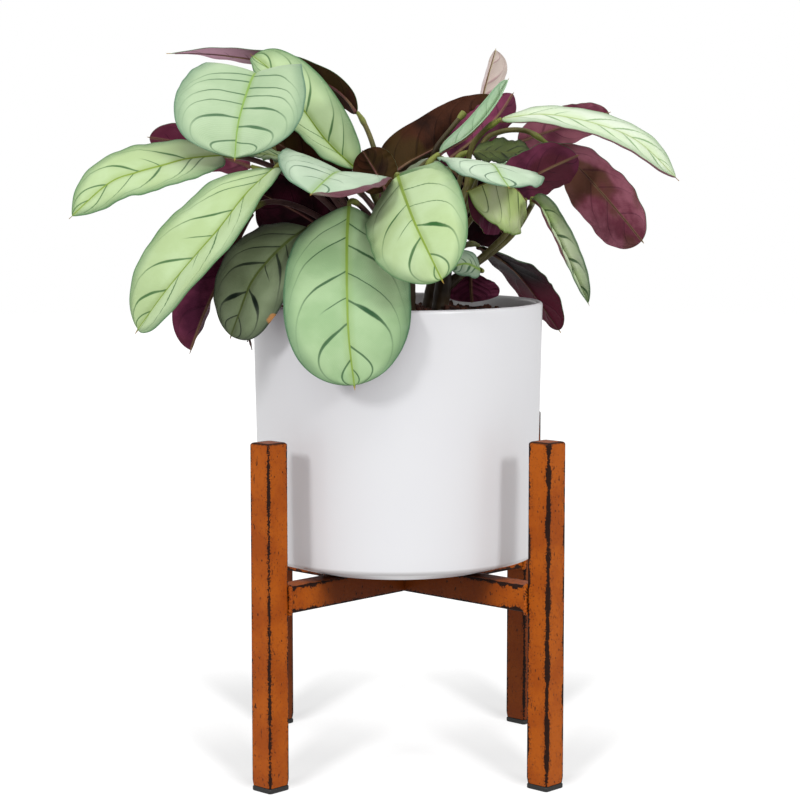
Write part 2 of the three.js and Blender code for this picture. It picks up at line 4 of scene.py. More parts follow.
import bpy
import numpy as np
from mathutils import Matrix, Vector


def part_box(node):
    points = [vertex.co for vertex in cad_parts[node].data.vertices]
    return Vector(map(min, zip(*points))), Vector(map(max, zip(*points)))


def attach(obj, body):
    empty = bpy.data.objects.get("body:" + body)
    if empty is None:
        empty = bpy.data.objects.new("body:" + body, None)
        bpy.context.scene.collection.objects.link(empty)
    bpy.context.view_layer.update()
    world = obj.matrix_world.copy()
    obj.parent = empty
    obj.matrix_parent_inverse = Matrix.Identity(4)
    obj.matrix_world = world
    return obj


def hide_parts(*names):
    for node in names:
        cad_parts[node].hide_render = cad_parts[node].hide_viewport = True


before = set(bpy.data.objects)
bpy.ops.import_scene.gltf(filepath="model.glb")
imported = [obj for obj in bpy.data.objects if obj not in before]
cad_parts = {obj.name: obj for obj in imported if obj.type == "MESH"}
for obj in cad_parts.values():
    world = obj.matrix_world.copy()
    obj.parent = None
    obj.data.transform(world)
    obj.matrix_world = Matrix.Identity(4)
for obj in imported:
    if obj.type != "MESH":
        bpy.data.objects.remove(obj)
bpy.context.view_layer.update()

# A prayer plant with patterned leaves in a white ceramic pot, on a low stand of square tube.
# Leaves, stalks, soil, pot and stand are made fine here, from the same dimensions and the same leaf table
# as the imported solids. Sizes are millimetres in the stand's own frame, with +Z up and the origin on the
# floor under the middle of the stand. Form.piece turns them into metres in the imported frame.
MM = 0.001

# A distance in mm beyond all that count, and the angle from which an edge is drawn sharp.
FAR = 99
SHARP_ANGLE = 50

# Stand. A weld's lumps are waves along its bead: height in mm and pace.
CORNERS = {"front_right": -45, "back_right": 45, "back_left": 135, "front_left": -135}
TUBE = 16
TUBE_CORNER = 1.4
CAP_BEVEL = 1.6
CAP_STEPS = 6
CAP_DIM_DEPTH = 1
LEG_END_INSET = 0.4
LEG_HEIGHT = 207.9
LEG_RADIUS = 115.3
LEG_RINGS = 60
LEG_RING_GAP = 1
STAND_TURN = math.radians(1.66)
CROSS_TOP = 121.7
BEAM_RINGS = 50
BEAM_END_FADE = 4
WELD_RADIUS = 1.35
WELD_LUMPS = [(0.25, 1.7), (0.15, 0.61)]
WELD_OFFSET = 0.4
WELD_INSET = 0.6
WELD_CORNER = 2.0
WELD_SIDES = 8
FOOT_HEIGHT = 3
FOOT_CORNER = 1.6
FOOT_LEVELS = [(0, 0.6), (0.25, 0.15), (0.7, 0), (2.3, 0), (2.75, 0.15), (3, 0.5), (3.3, 1.6)]
GAP = 0.3

# Painted shade: how much darker the rear legs are, and the beams far in, under the pot. Also how much
# darker the caps are, and how worn the edges are on each leg and on a beam, from its ends inwards. A run is
# in mm inwards from a leg's middle.
REAR_PAINTED_SHADE = 0.62
BEAM_PAINTED_SHADE = 0.8
CAP_DIM = 0.5
LEG_WEAR = {"front_left": 0.5, "front_right": 1.0, "back_left": 0.5, "back_right": 0.7}
BEAM_WEAR = (1.15, 0.5)
BEAM_PAINTED_SHADE_RUN = (20, 48)
BEAM_WEAR_RUN = (18, 46)
WELD_WEAR = dict(edge=2.2, end=3, wear=1)

# Pot. Gaps are the heights in mm that lie between an arc and the straight rings next to it.
POT_X = -3.7
POT_BASE = CROSS_TOP + GAP
POT_HEIGHT = 163.2
POT_RIM_RADIUS = 89.1
POT_FOOT_RADIUS = 85.6
POT_WALL = 4
POT_FLOOR = 6
POT_FLAT_RADIUS = 61
POT_RISE = 6.5
POT_SLOPE = 16.5
POT_EDGE = 3
POT_INNER_EDGE = 14
POT_SIDES = 160
POT_BEND = [(-1, 0), (0.6, 0.3)]
POT_EDGE_GAP = 4
POT_RIM_GAP = 3
POT_FLOOR_GAP = 2
POT_STEPS = dict(edge=10, wall=30, rim=12, inside=14, floor=6)

# Soil. Broad and fine are the heights of its waves, and lift raises all rings but the outermost.
SOIL_DROP = 6
SOIL_TOP = POT_BASE + POT_HEIGHT - SOIL_DROP
SOIL_CROWN = 2
SOIL_SHOULDER = 0.6
SOIL_CLEARANCE = 1
SOIL_RINGS = 60
SOIL_SIDES = 120
SOIL_SEED = 5
SOIL_DEPTH = 24
SOIL_BROAD = 0.9
SOIL_FINE = 0.6
SOIL_LOWER = 0.6
SOIL_LIFT = 0.3
SOIL_INNERMOST = 0.02

# Crumbs on the soil. A drawn number is given as its least value and how much more it can be.
CRUMBS = 320
CRUMB_SIDES = 7
CRUMB_RINGS = (-60, -20, 20, 60)
CRUMB_SIZE = (0.9, 1.7)
CRUMB_STRETCH = (0.7, 0.6)
CRUMB_DENT = (0.75, 0.5)
CRUMB_LIFT = 0.3
CRUMB_MARGIN = 4

# Shoots and their stalks. The pulvinus is the thick joint below a blade.
STEM_RADIUS = 5
STEM_TOP_RADIUS = 3.6
STEM_RISE = 30
STEM_SINK = 6
STEM_RINGS = 25
STEM_SIDES = 20
STEM_SWELL = 0.12
STEM_RIDGE = 0.06
STALK_RADIUS = 1.6
STALK_FOOT_RADIUS = 2.2
STALK_END_RADIUS = 1.3
STALK_GAP = 0.7
STALK_RINGS = 56
STALK_SIDES = 12
SHEATH_THICKNESS = 1.0
SHEATH_LENGTH = 26
PULVINUS_RADIUS = 2.1
PULVINUS_LENGTH = 11
PULVINUS_FADE = (PULVINUS_LENGTH - 3, PULVINUS_LENGTH + 2)
STALK_END_LENGTH = 9
LEAVE_LOWEST = 6
LEAVE_STEP = 3
LEAVE_COUNT = 7
SET_OFF_SHARE = 0.42
COME_IN_SHARE = 0.3
COME_IN_LIMIT = 30

# Blades
BODY_SHARE = 0.975
POINT_HALF_WIDTH = 1.4
END_SHARPNESS = 2.6
END_ROUNDNESS = 0.52
NO_CURL = 0.01
BLADE_ROWS = 72
BLADE_HALF_COLUMNS = 15
BLADE_THICKNESS = 0.45
LEAST_HALF_WIDTH = 0.3
LAST_STEP_SHARE = 0.4
RIB_SHARE = 0.96
RIB_END_RADIUS = 0.25
RIB_TAPER = 0.4
RIB_SINK = 0.05
RIB_RINGS = 40
RIB_SIDES = 8

# Blade relief: pillows between the side veins, fainter on the underside, and waves of the edge, which some
# leaves have less of. The number of waves and their size are drawn between two limits, and a second wave,
# smaller and shorter, is laid over the first.
PILLOW_HEIGHT = 0.6
PILLOW_WIDTH = 2.6
PILLOW_BELOW = 0.8
PILLOW_FULL = 12
PILLOW_START = 3
WAVE_FULL = 15
WAVE_COUNT = (2.2, 3.8)
WAVE_SPREAD = (0.7, 1.3)
SECOND_SIZE = 0.45
SECOND_PACE = 2.7
EDGE_WAVE = 0.9
WAVES = {
    "right_long": 0.3, "right_hanging": 0.3, "narrow_green": 0.2, "new_spear": 0.2, "small_grey": 0.3,
    "front_level": 0.6, "far_left": 0.6, "left_long": 0.6,
}

# The camera, and the same eye by which the leaves are laid out: a place is [across, down, back], with
# picture units out of 800 and mm behind the stand's axis.
PICTURE = 800
SENSOR = 36
EYE_X = -2.4
EYE_DISTANCE = 1431.9
EYE_HEIGHT = 377.6
EYE_TILT = 0.106
EYE_FOCAL = 2325.5
EYE_ACROSS = 400
EYE_DOWN = 397.7

SHOOTS = {
    "left": dict(at=[-14, 0], lean=[-6, 0]),
    "front": dict(at=[2, -16], lean=[0, -5]),
    "middle": dict(at=[22, -4], lean=[4, 0]),
    "right": dict(at=[16, 18], lean=[6, 3]),
    "back": dict(at=[-6, 22], lean=[-2, 7]),
}


def row(name, shoot, tone, width, fold, **shape):
    """A leaf: its shoot, its colour, its full width, and its rib from base to tip.

    The face is the way that its upper side looks, and face_tip the same at the tip. The fold is how far its
    right and left halves are raised at the rib, and the curl how far they bend on to the edge, in degrees,
    seen from the base to the tip with the upper face up.
    """
    return dict(name=name, shoot=shoot, tone=tone, width=width, fold=fold, **shape)


LEAVES = [
    row("front_broad", "front", "pale", 74, [6, 6], curl=-14, widest=1.3, face=[0.02, -1, 0.35],
        rib=[[349, 206, -34], [347, 238, -58], [347, 292, -87], [349, 340, -102], [355, 391, -107]]),
    row("front_centre", "front", "pale", 64, [2, 4], curl=-20, face=[-0.42, -0.72, 0.48],
        rib=[[398, 176, -28], [404, 194, -62], [415, 223, -98], [430, 255, -119], [444, 284, -128]]),
    row("front_level", "front", "silver", 67, [28, 2], curl=-12, widest=1.2, face=[0.02, -0.1, 1],
        face_tip=[0, -0.3, 1], rib=[[352, 183, 14], [345, 175, -12], [336, 173, -42], [325, 181, -72],
        [310, 195.5, -98]]),
    row("left_long", "left", "pale", 68, [2, 38], curl=-8, widest=1.05, face=[-0.44, -0.82, 0.37],
        rib=[[274, 169, -42], [246, 195, -58], [221, 227, -68], [193, 259, -74], [166, 291.5, -76],
        [135, 334, -72]]),
    row("left_shaded", "left", "deep", 50, [4, 4], curl=-10, face=[-0.4, -0.85, 0.25],
        rib=[[308, 228, -42], [290, 240, -54], [270, 259, -62], [252, 282, -66], [240, 312, -66],
        [230, 339, -60]]),
    row("left_tucked", "left", "plum", 44, [40, 40], face=[-0.6, 0.6, 0.3], rib=[[250, 215, -20],
        [228, 262, -36], [206, 310, -44], [189.6, 354, -46]]),
    row("far_left", "left", "pale", 48, [12, 6], curl=-10, widest=0.9, taper=0.8,
        face=[-0.25, -0.6, 0.75], rib=[[222, 156, -8], [189, 159, -20], [162, 166, -28],
        [136.5, 173, -34], [108.5, 184, -40], [69, 219, -46]]),
    row("left_plum", "back", "plum", 30, [6, 6], face=[-0.2, 0.75, 0.6], rib=[[250, 166, 30],
        [215, 154, 32], [180, 143, 32], [147, 137, 30]]),
    row("top_left", "back", "silver", 81, [24, 16], curl=-14, widest=1.4, face=[0, 0.4, 1],
        face_tip=[-0.15, -1.2, 0.45], stalk=[[300, 230, 22], [276, 160, 29]], rib=[[264, 92, 20],
        [256, 74, 2], [246, 96, -14], [238, 126, -30], [234.6, 161.4, -40]]),
    row("left_sliver", "left", "pale", 24, [4, 4], face=[0, -0.35, 0.94], rib=[[292, 161, -6],
        [268, 155, -12], [247, 155, -18]]),
    row("top_green", "back", "pale", 44, [24, 44], curl=-8, taper=0.6, face=[0.1, -0.9, 0.4],
        rib=[[355, 169, 22], [326, 141, 36], [298, 103, 50], [272, 72, 62], [250, 54, 70]]),
    row("top_plum", "back", "plum", 26, [6, 6], taper=0.8, face=[0.45, 0.75, 0.35], face_tip=[0, 0.06, 1],
        rib=[[357, 112, 84], [348, 100, 92], [331, 86, 98], [300, 73, 102], [262, 61.5, 104],
        [225, 55.5, 106], [198, 53.5, 106], [166.4, 53.6, 106]]),
    row("under_left", "back", "umber", 44, [6, 6], face=[-0.3, 0.8, 0.5], rib=[[350, 186, 46],
        [322, 171, 50], [292, 152, 52], [270, 138, 54]]),
    row("centre_umber", "back", "umber", 42, [46, 36], widest=0.8, face=[-0.3, 0.75, 0.6],
        rib=[[386, 177, 26], [408, 162, 34], [436, 147, 44], [464, 127, 54], [482, 111, 60],
        [496, 94, 62]]),
    row("centre_small", "front", "umber", 28, [6, 6], face=[0, 0.9, 0.4], rib=[[386, 190, 8],
        [375, 171, 12], [362, 150, 14]]),
    row("new_spear", "right", "rose", 34, [66, 66], widest=2.2, face=[0.3, 0.9, 0], rib=[[474, 130, 77],
        [480, 108, 80], [487, 80, 82], [496, 48, 84]]),
    row("narrow_green", "right", "silver", 18, [62, 62], face=[-0.2, -0.8, 0.5], rib=[[440, 153, 8],
        [468, 136, 12], [493, 108, 18], [509, 78, 22]]),
    row("folded_plum", "right", "plum", 34, [45, 45], face=[0.3, 0.7, 0.5], rib=[[450, 158, 34],
        [476, 138, 40], [498, 116, 46], [514, 92, 50]]),
    row("right_long", "right", "pale", 40, [6, 6], curl=-10, widest=1.05, taper=0.75,
        face=[0.1, -0.36, 0.93], stalk=[[464, 200, 22], [470, 152, 22], [484, 131, 18]],
        rib=[[502, 119, 10], [545, 115, 2], [595, 124, -4], [638, 142, -10], [679, 181, -14]]),
    row("right_plum", "right", "plum", 28, [8, 8], face=[0.1, 0.8, 0.55], rib=[[518, 142, 52],
        [550, 131, 54], [582, 122, 52], [611, 112, 48]]),
    row("far_right", "right", "plum", 50, [-8, 4], curl=-6, widest=1.5, face=[0.35, 0.75, 0.5],
        stalk=[[470, 200, 30], [482, 146, 40], [500, 132, 44], [526, 131, 40]], rib=[[548, 144, 34],
        [577, 166, 30], [602, 193, 24], [626, 221, 16], [644, 243.5, 10]]),
    row("right_shaded", "right", "deep", 30, [4, 4], face=[0, -0.5, 0.86], rib=[[474, 152, 30],
        [500, 152, 26], [530, 155, 20]]),
    row("right_level", "middle", "silver", 62, [0, 6], curl=-14, face=[0.24, -0.2, 0.95],
        rib=[[477, 172, 4], [485, 164, -22], [494, 166, -52], [502, 178, -75], [509.5, 188.5, -88]]),
    row("right_vivid", "middle", "plum", 40, [6, 6], face=[-0.1, 0.75, 0.65], rib=[[502, 193, 12],
        [524, 181, 10], [550, 168, 6], [579, 155, 2]]),
    row("round", "middle", "fresh", 66, [-76, -74], face=[0, 0, 1], stalk=[[500, 240, 14],
        [521, 212, 15]], rib=[[525, 199, 6], [514, 187, -8], [494, 181, -30], [466, 191.5, -50]]),
    row("round_back", "back", "umber", 48, [6, 6], face=[0.2, 0.75, 0.3], rib=[[452, 168, 86],
        [468, 190, 82], [488, 215, 76], [509, 241, 70]]),
    row("right_hanging", "middle", "green", 25, [62, 62], taper=0.8, face=[0.17, -0.95, 0.3],
        stalk=[[505, 242, 20], [530, 208, 8]], rib=[[533, 199, -9], [542, 208, -16], [553, 229, -24],
        [566, 255, -30], [578, 282, -34], [589.5, 306, -34]]),
    row("rim", "middle", "plum", 50, [5, 5], face=[0.6, 0.4, 0.7], rib=[[479, 246, 25], [505, 262, 45],
        [528, 286, 62], [561, 333, 66]]),
    row("low", "middle", "plum", 36, [10, 10], widest=2.2, face=[0.1, 0.9, 0.2], rib=[[471, 270, 20],
        [471, 287, 26], [472, 303, 30]]),
    row("small_grey", "middle", "silver", 20, [4, 4], face=[0, -0.8, 0.6], rib=[[480, 270, -20],
        [466, 264, -26], [449, 268, -30]]),
    row("centre_dark", "left", "umber", 56, [6, 6], face=[0.1, 0.95, 0.25], rib=[[344, 244, 12],
        [304, 216, 14], [258, 192, 12]]),
    row("back_left", "back", "green", 56, [6, 6], curl=-10, face=[-0.2, 0.4, 0.9], rib=[[305, 205, 66],
        [280, 186, 92], [256, 186, 116], [238, 206, 136]]),
    row("back_centre", "back", "green", 66, [6, 6], curl=-10, face=[0, 0.4, 0.9], rib=[[399, 192, 62],
        [402, 170, 92], [402, 161, 118], [398, 173, 142], [392, 206, 160]]),
    row("back_right", "back", "green", 54, [6, 6], curl=-10, face=[0.3, 0.4, 0.9], stalk=[[422, 236, 68],
        [441, 209, 99]], rib=[[474, 170, 112], [499, 166, 128], [520, 176, 140], [534, 199, 150]]),
    row("back_low", "back", "green", 50, [6, 6], curl=-10, face=[-0.3, 0.5, 0.8], rib=[[330, 235, 56],
        [305, 228, 84], [280, 240, 108], [262, 270, 122]]),
]

# Bare stalks: a cut one with a wide end, and dry ones at the rim.
STRAYS = [
    dict(shoot="right", radius=1.6, end=2.3,
         route=[[430, 166, 30], [436, 148, 26], [450, 130, 30], [464, 113, 36]]),
    dict(shoot="left", radius=0.7, end=0.3,
         route=[[262, 310, -62], [254, 322, -66], [249, 334, -66], [252, 350, -66]]),
    dict(shoot="left", radius=0.5, end=0.3,
         route=[[262, 312, -60], [256, 324, -64], [252, 333, -64], [247, 342, -64]]),
]
STRAY_RINGS = 24
STRAY_END = (0.86, 0.94)
STRAY_TINT = 0.35

# Side veins: half width in mm at the midrib, how much of a dark brush mark they carry, and how far out
# they reach, as a share of the half blade.
VEIN_KINDS = {
    "thin": (0.32, 0.0, 1.2),
    "line": (0.5, 0.0, 1.2),
    "bold": (0.58, 0.4, 1.2),
    "brush": (0.62, 1.0, 1.2),
    "short": (0.3, 0.0, 0.45),
}

# Where the side veins of the leaves in front leave the midrib, in picture units, on the right half and the
# left half as seen from the base to the tip with the upper face up.
VEINS = {
    "front_broad": (
        [(348, 218, "thin"), (348, 237, "line"), (347, 271, "bold"), (347, 297, "short"),
         (348, 324, "bold"), (350, 360, "line")],
        [(348, 223, "line"), (348, 245, "bold"), (347, 273, "thin"), (347, 300, "brush"),
         (349, 346, "line"), (351, 370, "short")],
    ),
    "front_centre": (
        [(396, 186, "line"), (404, 205, "bold"), (411, 220, "short"), (419, 238, "bold"),
         (434, 266, "thin")],
        [(398, 176, "thin"), (404, 191, "line"), (409, 207, "thin"), (418, 225, "brush"),
         (431, 254, "line")],
    ),
    "left_long": (
        [(270, 168, "line"), (259, 180, "line"), (235, 210, "bold"), (214, 236, "short"),
         (194, 258, "bold"), (167, 291, "bold"), (151, 312, "thin")],
        [(262, 177, "short"), (245, 197, "thin"), (233, 211, "short"), (219, 228, "bold"),
         (202, 251, "short"), (181, 275, "bold"), (151, 314, "thin")],
    ),
    "left_shaded": (
        [(295, 232, "line"), (280, 245, "line"), (265, 262, "bold"), (246, 291, "brush"),
         (239, 314, "thin")],
        [(285, 244, "thin"), (275, 252, "bold"), (265, 264, "short"), (250, 289, "brush"),
         (239, 316, "thin")],
    ),
    "far_left": (
        [(187, 160, "bold"), (162, 167, "short"), (140, 173, "bold"), (106, 184, "line"),
         (88, 200, "thin")],
        [(205, 158, "line"), (193, 161, "line"), (163, 167, "bold"), (135, 177, "thin"),
         (108, 186, "line")],
    ),
    "top_left": (
        [(254, 77, "line"), (249, 82, "line"), (244, 94, "line"), (241, 104, "thin"), (237, 118, "bold"),
         (234, 140, "line")],
        [(254, 78, "line"), (249, 89, "line"), (246, 97, "line"), (241, 109, "bold"), (237, 127, "bold"),
         (235, 142, "thin")],
    ),
    "top_green": (
        [(345, 156, "line"), (329, 143, "bold"), (307, 113, "bold"), (290, 92, "line"),
         (272, 72, "line")],
        [(340, 153, "thin"), (326, 140, "line"), (306, 112, "line"), (284, 86, "bold"),
         (268, 68, "line")],
    ),
}

# Veins laid out by rule, with a seeded draw for their places and kinds.
VEIN_FIRST = 0.07
VEIN_LAST = 0.9
VEIN_SPACING = 17
VEINS_LEAST = 4
VEIN_JITTER = 0.28
VEIN_DRAWS = ["line", "bold", "thin", "bold", "short", "line"]

# How side veins run out: forward by slope and, near the edge, by sweep, in parts of half width to length.
VEIN_SLOPE = 0.72
VEIN_SWEEP = 1.3
SWEEP_POWER = 6
VEER = {
    "top_left": (0.16, 0.75), "top_green": (0.85, 1.3), "right_long": (1.1, 1.4), "far_left": (0.95, 1.4),
    "left_long": (0.85, 1.4), "round": (0.1, 0.6),
}
RAMP_STEPS = 255
BRUSH_WIDTH = 1.15
VEIN_WOBBLE = 2.6
VEIN_STRENGTH = 0.8

# Upper faces, as screen colours: the blade, its lighter parts, the edge, the side veins and the rib.
UPPER_PARTS = ["blade", "light", "edge", "vein", "rib"]
UPPER = {
    "pale": [(192, 216, 158), (204, 228, 176), (88, 136, 88), (50, 104, 46), (142, 170, 62)],
    # Painted shade: the pale tone made darker for the front leaf, which gets less light.
    "pale_in_shade": [(162, 196, 144), (180, 211, 160), (66, 114, 80), (38, 88, 46), (142, 172, 72)],
    "mint": [(177, 203, 162), (190, 214, 174), (96, 136, 108), (54, 102, 60), (146, 182, 90)],
    "silver": [(190, 214, 184), (206, 227, 198), (96, 136, 108), (54, 102, 66), (150, 186, 96)],
    "bright": [(226, 244, 206), (238, 250, 226), (128, 168, 116), (138, 176, 118), (190, 212, 146)],
    "chalk": [(204, 228, 196), (218, 238, 210), (96, 136, 108), (54, 102, 66), (150, 186, 96)],
    "fresh": [(222, 250, 158), (238, 254, 198), (116, 148, 62), (70, 110, 50), (176, 196, 80)],
    # Painted light: a brightened tone for a leaf whose faces turn away from the light.
    "lit_sage": [(226, 246, 188), (244, 254, 222), (78, 112, 80), (50, 92, 54), (140, 172, 76)],
    "green": [(142, 174, 124), (162, 194, 144), (66, 104, 68), (40, 80, 46), (126, 154, 66)],
    # Painted shade: a darker green for leaves that lie in shade.
    "deep": [(126, 142, 104), (150, 168, 128), (46, 60, 46), (24, 40, 28), (98, 114, 56)],
    # Painted light: a brightened tone for a folded leaf whose faces turn away from the light.
    "lit_frost": [(214, 240, 206), (236, 250, 230), (150, 190, 150), (160, 196, 156), (190, 215, 170)],
    # Painted shade: the darkest green, for a leaf in deep shade.
    "shaded_moss": [(74, 92, 44), (106, 124, 60), (36, 48, 26), (28, 42, 20), (110, 122, 60)],
}
UPPER_OF = {
    "plum": "green", "umber": "green", "rose": "fresh", "front_broad": "pale_in_shade", "right_long": "bright",
    "right_hanging": "lit_sage", "top_left": "mint", "narrow_green": "lit_frost", "right_shaded": "shaded_moss",
    "back_centre": "deep", "right_level": "chalk",
}

# Undersides: the dark parts, the light parts, the side veins, the rib and the patch that lets some green
# through, painted light from behind the blade. A leaf's tip can have a colour of its own.
UNDER_PARTS = ["dark", "light", "vein", "rib", "patch"]
UNDER = {
    "plum": [(88, 36, 60), (132, 62, 90), (62, 26, 44), (146, 120, 88), (100, 48, 56)],
    "vivid": [(136, 68, 88), (182, 110, 128), (76, 30, 52), (152, 116, 96), (118, 46, 74)],
    "berry": [(148, 76, 94), (204, 126, 146), (84, 40, 58), (164, 134, 104), (122, 88, 60)],
    # Painted shade: near black, for undersides deep in the crown or turned down into shade.
    "shaded_plum": [(28, 13, 17), (74, 26, 42), (20, 8, 12), (74, 46, 40), (50, 20, 26)],
    "umber": [(46, 28, 22), (80, 46, 32), (28, 16, 14), (92, 72, 46), (74, 58, 28)],
    "rose": [(236, 206, 206), (252, 238, 236), (170, 104, 124), (206, 200, 150), (240, 222, 208)],
}
UNDER_OF = {
    "rim": "shaded_plum", "round_back": "shaded_plum", "low": "plum", "centre_small": "umber", "centre_dark": "shaded_plum",
    "back_low": "shaded_plum", "front_level": "shaded_plum", "far_right": "berry", "left_plum": "vivid",
    "right_plum": "vivid", "right_vivid": "plum", "folded_plum": "plum", "top_plum": "umber",
}
UNDER_TIP = {"top_plum": (255, 196, 222), "rim": (112, 36, 58)}

# Dry spots on leaf margins: share along, place across and size in mm.
SCARS = {"left_shaded": (0.74, -0.99, 3.6)}

# Margins that turn over and show the underside: half, shares where this starts and stops, width in mm at
# the tip, and the power by which it narrows towards the base.
HEMS = {
    "front_level": (-1, 0.3, 0.94, 8.0, 1.6),
    "right_hanging": (1, 0.06, 0.6, 4.0, 0.3),
    "right_long": (1, 0.02, 0.96, 1.5, 0.6),
}

# Two stalk colours each, of the plain shoots and of the brown ones.
STALK_COLOURS = [((96, 92, 48), (120, 112, 62)), ((84, 56, 54), (112, 80, 76))]
BROWN_SHOOTS = ["left", "front"]

# Studio. A light is its direction, distance and size in m, and power in W.
STUDIO_LIGHT = 1.42
FLOOR_RADIUS = 4
FLOOR_SIDES = 96
FLOOR_FADE = (0.2, 0.42)
FLOOR_GLOW = 0.7
FLOOR_SHINE = 1.14
BACKDROP = 1.0
WORLD_LIGHT = 0.72
BOUNCE = 0.75
LIGHTS = [
    ("key_left", (-0.60, -0.68, 0.42), 1.9, 0.36, 12.5),
    ("key_right", (0.60, -0.68, 0.42), 1.9, 0.36, 12.5),
    ("key_top", (0, -0.35, 1), 1.8, 1.3, 12),
]
AIM = (0, 0, 0.26)

# Painted shadows: each foot's two faint streaks on the floor, standing for the legs' shadows. Given are
# their turn from straight back, length, half width at the foot and how much that grows for each mm, and how
# dark they are.
PAINTED_SHADOW_TURN = math.radians(17.5)
PAINTED_SHADOW_LENGTH = 215
PAINTED_SHADOW_WIDTH = 9
PAINTED_SHADOW_SPREAD = 0.06
PAINTED_SHADOW_DARK = 0.21


# Vectors and paths
def unit(vectors):
    return vectors / np.linalg.norm(vectors, axis=-1, keepdims=True)


def mix(first, second, share):
    return first + (second - first) * share


def step_up(value, low, high):
    share = np.clip((value - low) / (high - low), 0, 1)
    return share * share * (3 - 2 * share)


def around(sides):
    return np.arange(sides) * 2 * math.pi / sides


def circle(radius, height, sides):
    turn = around(sides)
    return np.stack([radius * np.cos(turn), radius * np.sin(turn), np.full(sides, height)], axis=1)


def place(spot):
    across, down, back = spot
    right = (across - EYE_ACROSS) / EYE_FOCAL
    up = (EYE_DOWN - down) / EYE_FOCAL
    run = math.cos(EYE_TILT) + up * math.sin(EYE_TILT)
    rise = up * math.cos(EYE_TILT) - math.sin(EYE_TILT)
    depth = (EYE_DISTANCE + back) / run
    return np.array([EYE_X + right * depth, back, EYE_HEIGHT + rise * depth])


def picture(points):
    """Where points are seen in the picture, as [across, down]."""
    offset = points - np.array([EYE_X, -EYE_DISTANCE, EYE_HEIGHT])
    depth = offset[..., 1] * math.cos(EYE_TILT) - offset[..., 2] * math.sin(EYE_TILT)
    up = offset[..., 1] * math.sin(EYE_TILT) + offset[..., 2] * math.cos(EYE_TILT)
    across = EYE_ACROSS + EYE_FOCAL * offset[..., 0] / depth
    down = EYE_DOWN - EYE_FOCAL * up / depth
    return np.stack([across, down], axis=-1)


class Path:
    """A fine run of points, read by share of its length."""

    def __init__(self, points):
        self.points = np.asarray(points, float)
        steps = np.linalg.norm(np.diff(self.points, axis=0), axis=1)
        self.run = np.concatenate([[0], np.cumsum(steps)])
        self.length = self.run[-1]

    def at(self, share):
        where = np.asarray(share, float) * self.length
        return np.stack([np.interp(where, self.run, self.points[:, k]) for k in range(3)], axis=-1)

    def along(self, share, step=2e-3):
        share = np.asarray(share, float)
        return unit(self.at(np.minimum(1, share + step)) - self.at(np.maximum(0, share - step)))

    def nearest_share(self, across, down):
        seen = picture(self.points)
        return self.run[np.argmin(np.hypot(seen[:, 0] - across, seen[:, 1] - down))] / self.length


def through(points, fine=120):
    """A smooth path through points."""
    points = np.asarray(points, float)
    ends = np.vstack([2 * points[0] - points[1], points, 2 * points[-1] - points[-2]])
    slopes = (ends[2:] - ends[:-2]) / 2
    t = np.linspace(0, 1, fine, endpoint=False)[:, None]
    rows = []
    for i in range(len(points) - 1):
        rows.append(
            points[i] * (2 * t**3 - 3 * t**2 + 1) + slopes[i] * (t**3 - 2 * t**2 + t)
            + points[i + 1] * (3 * t**2 - 2 * t**3) + slopes[i + 1] * (t**3 - t**2)
        )
    return Path(np.vstack([*rows, points[-1:]]))


def through_places(spots):
    return through([place(spot) for spot in spots])


def bezier(a, b, c, d, fine=300):
    t = np.linspace(0, 1, fine)[:, None]
    return Path(a * (1 - t)**3 + 3 * b * t * (1 - t)**2 + 3 * c * t**2 * (1 - t) + d * t**3)


# Meshes
def stand_middle():
    corners = [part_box(f"foot_{corner}") for corner in CORNERS]
    middle = sum(((low + high) / 2 for low, high in corners), Vector()) / len(corners)
    return np.array([middle.x / MM, middle.y / MM, 0])


SHIFT = stand_middle()


class Form:
    """Closed bodies that make up one piece, with a number of each kind at every vertex."""

    def __init__(self, *kinds):
        self.kinds = {kind: [] for kind in kinds}
        self.vertices = []
        self.faces = []
        self.slots = []
        self.count = 0

    def add(self, vertices, faces, slots=0, **values):
        vertices = np.asarray(vertices, float)
        fan = np.array([(f[0], f[i], f[i + 1]) for f in faces for i in range(1, len(f) - 1)])
        a, b, c = (vertices[fan[:, k]] for k in range(3))
        volume = np.einsum("ij,ij->i", a, np.cross(b, c)).sum()
        turn = -1 if volume < 0 else 1
        self.faces += [tuple(int(i) + self.count for i in f[::turn]) for f in faces]
        self.slots += [slots] * len(faces) if isinstance(slots, int) else list(slots)
        self.vertices.append(vertices)
        self.count += len(vertices)
        for kind, rows in self.kinds.items():
            rows.append(np.broadcast_to(np.asarray(values.get(kind, 0.0), float), len(vertices)))

    def piece(self, name, materials, nodes):
        mesh = bpy.data.meshes.new(name)
        vertices = (np.vstack(self.vertices) + SHIFT) * MM
        mesh.from_pydata(vertices.tolist(), [], self.faces)
        for kind, rows in self.kinds.items():
            layer = mesh.attributes.new(kind, "FLOAT", "POINT")
            layer.data.foreach_set("value", np.concatenate(rows).astype(np.float32))
        for material in materials:
            mesh.materials.append(material)
        mesh.polygons.foreach_set("material_index", self.slots)
        mesh.shade_smooth()
        mesh.set_sharp_from_angle(angle=math.radians(SHARP_ANGLE))
        piece = bpy.data.objects.new(name, mesh)
        bpy.context.scene.collection.objects.link(piece)
        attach(piece, "root")
        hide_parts(*nodes)


def grid_faces(rows, columns, start=0, ring=False):
    faces = []
    for i in range(rows - 1):
        for j in range(columns if ring else columns - 1):
            a = start + i * columns + j
            b = start + i * columns + (j + 1) % columns
            faces.append((a, b, b + columns, a + columns))
    return faces


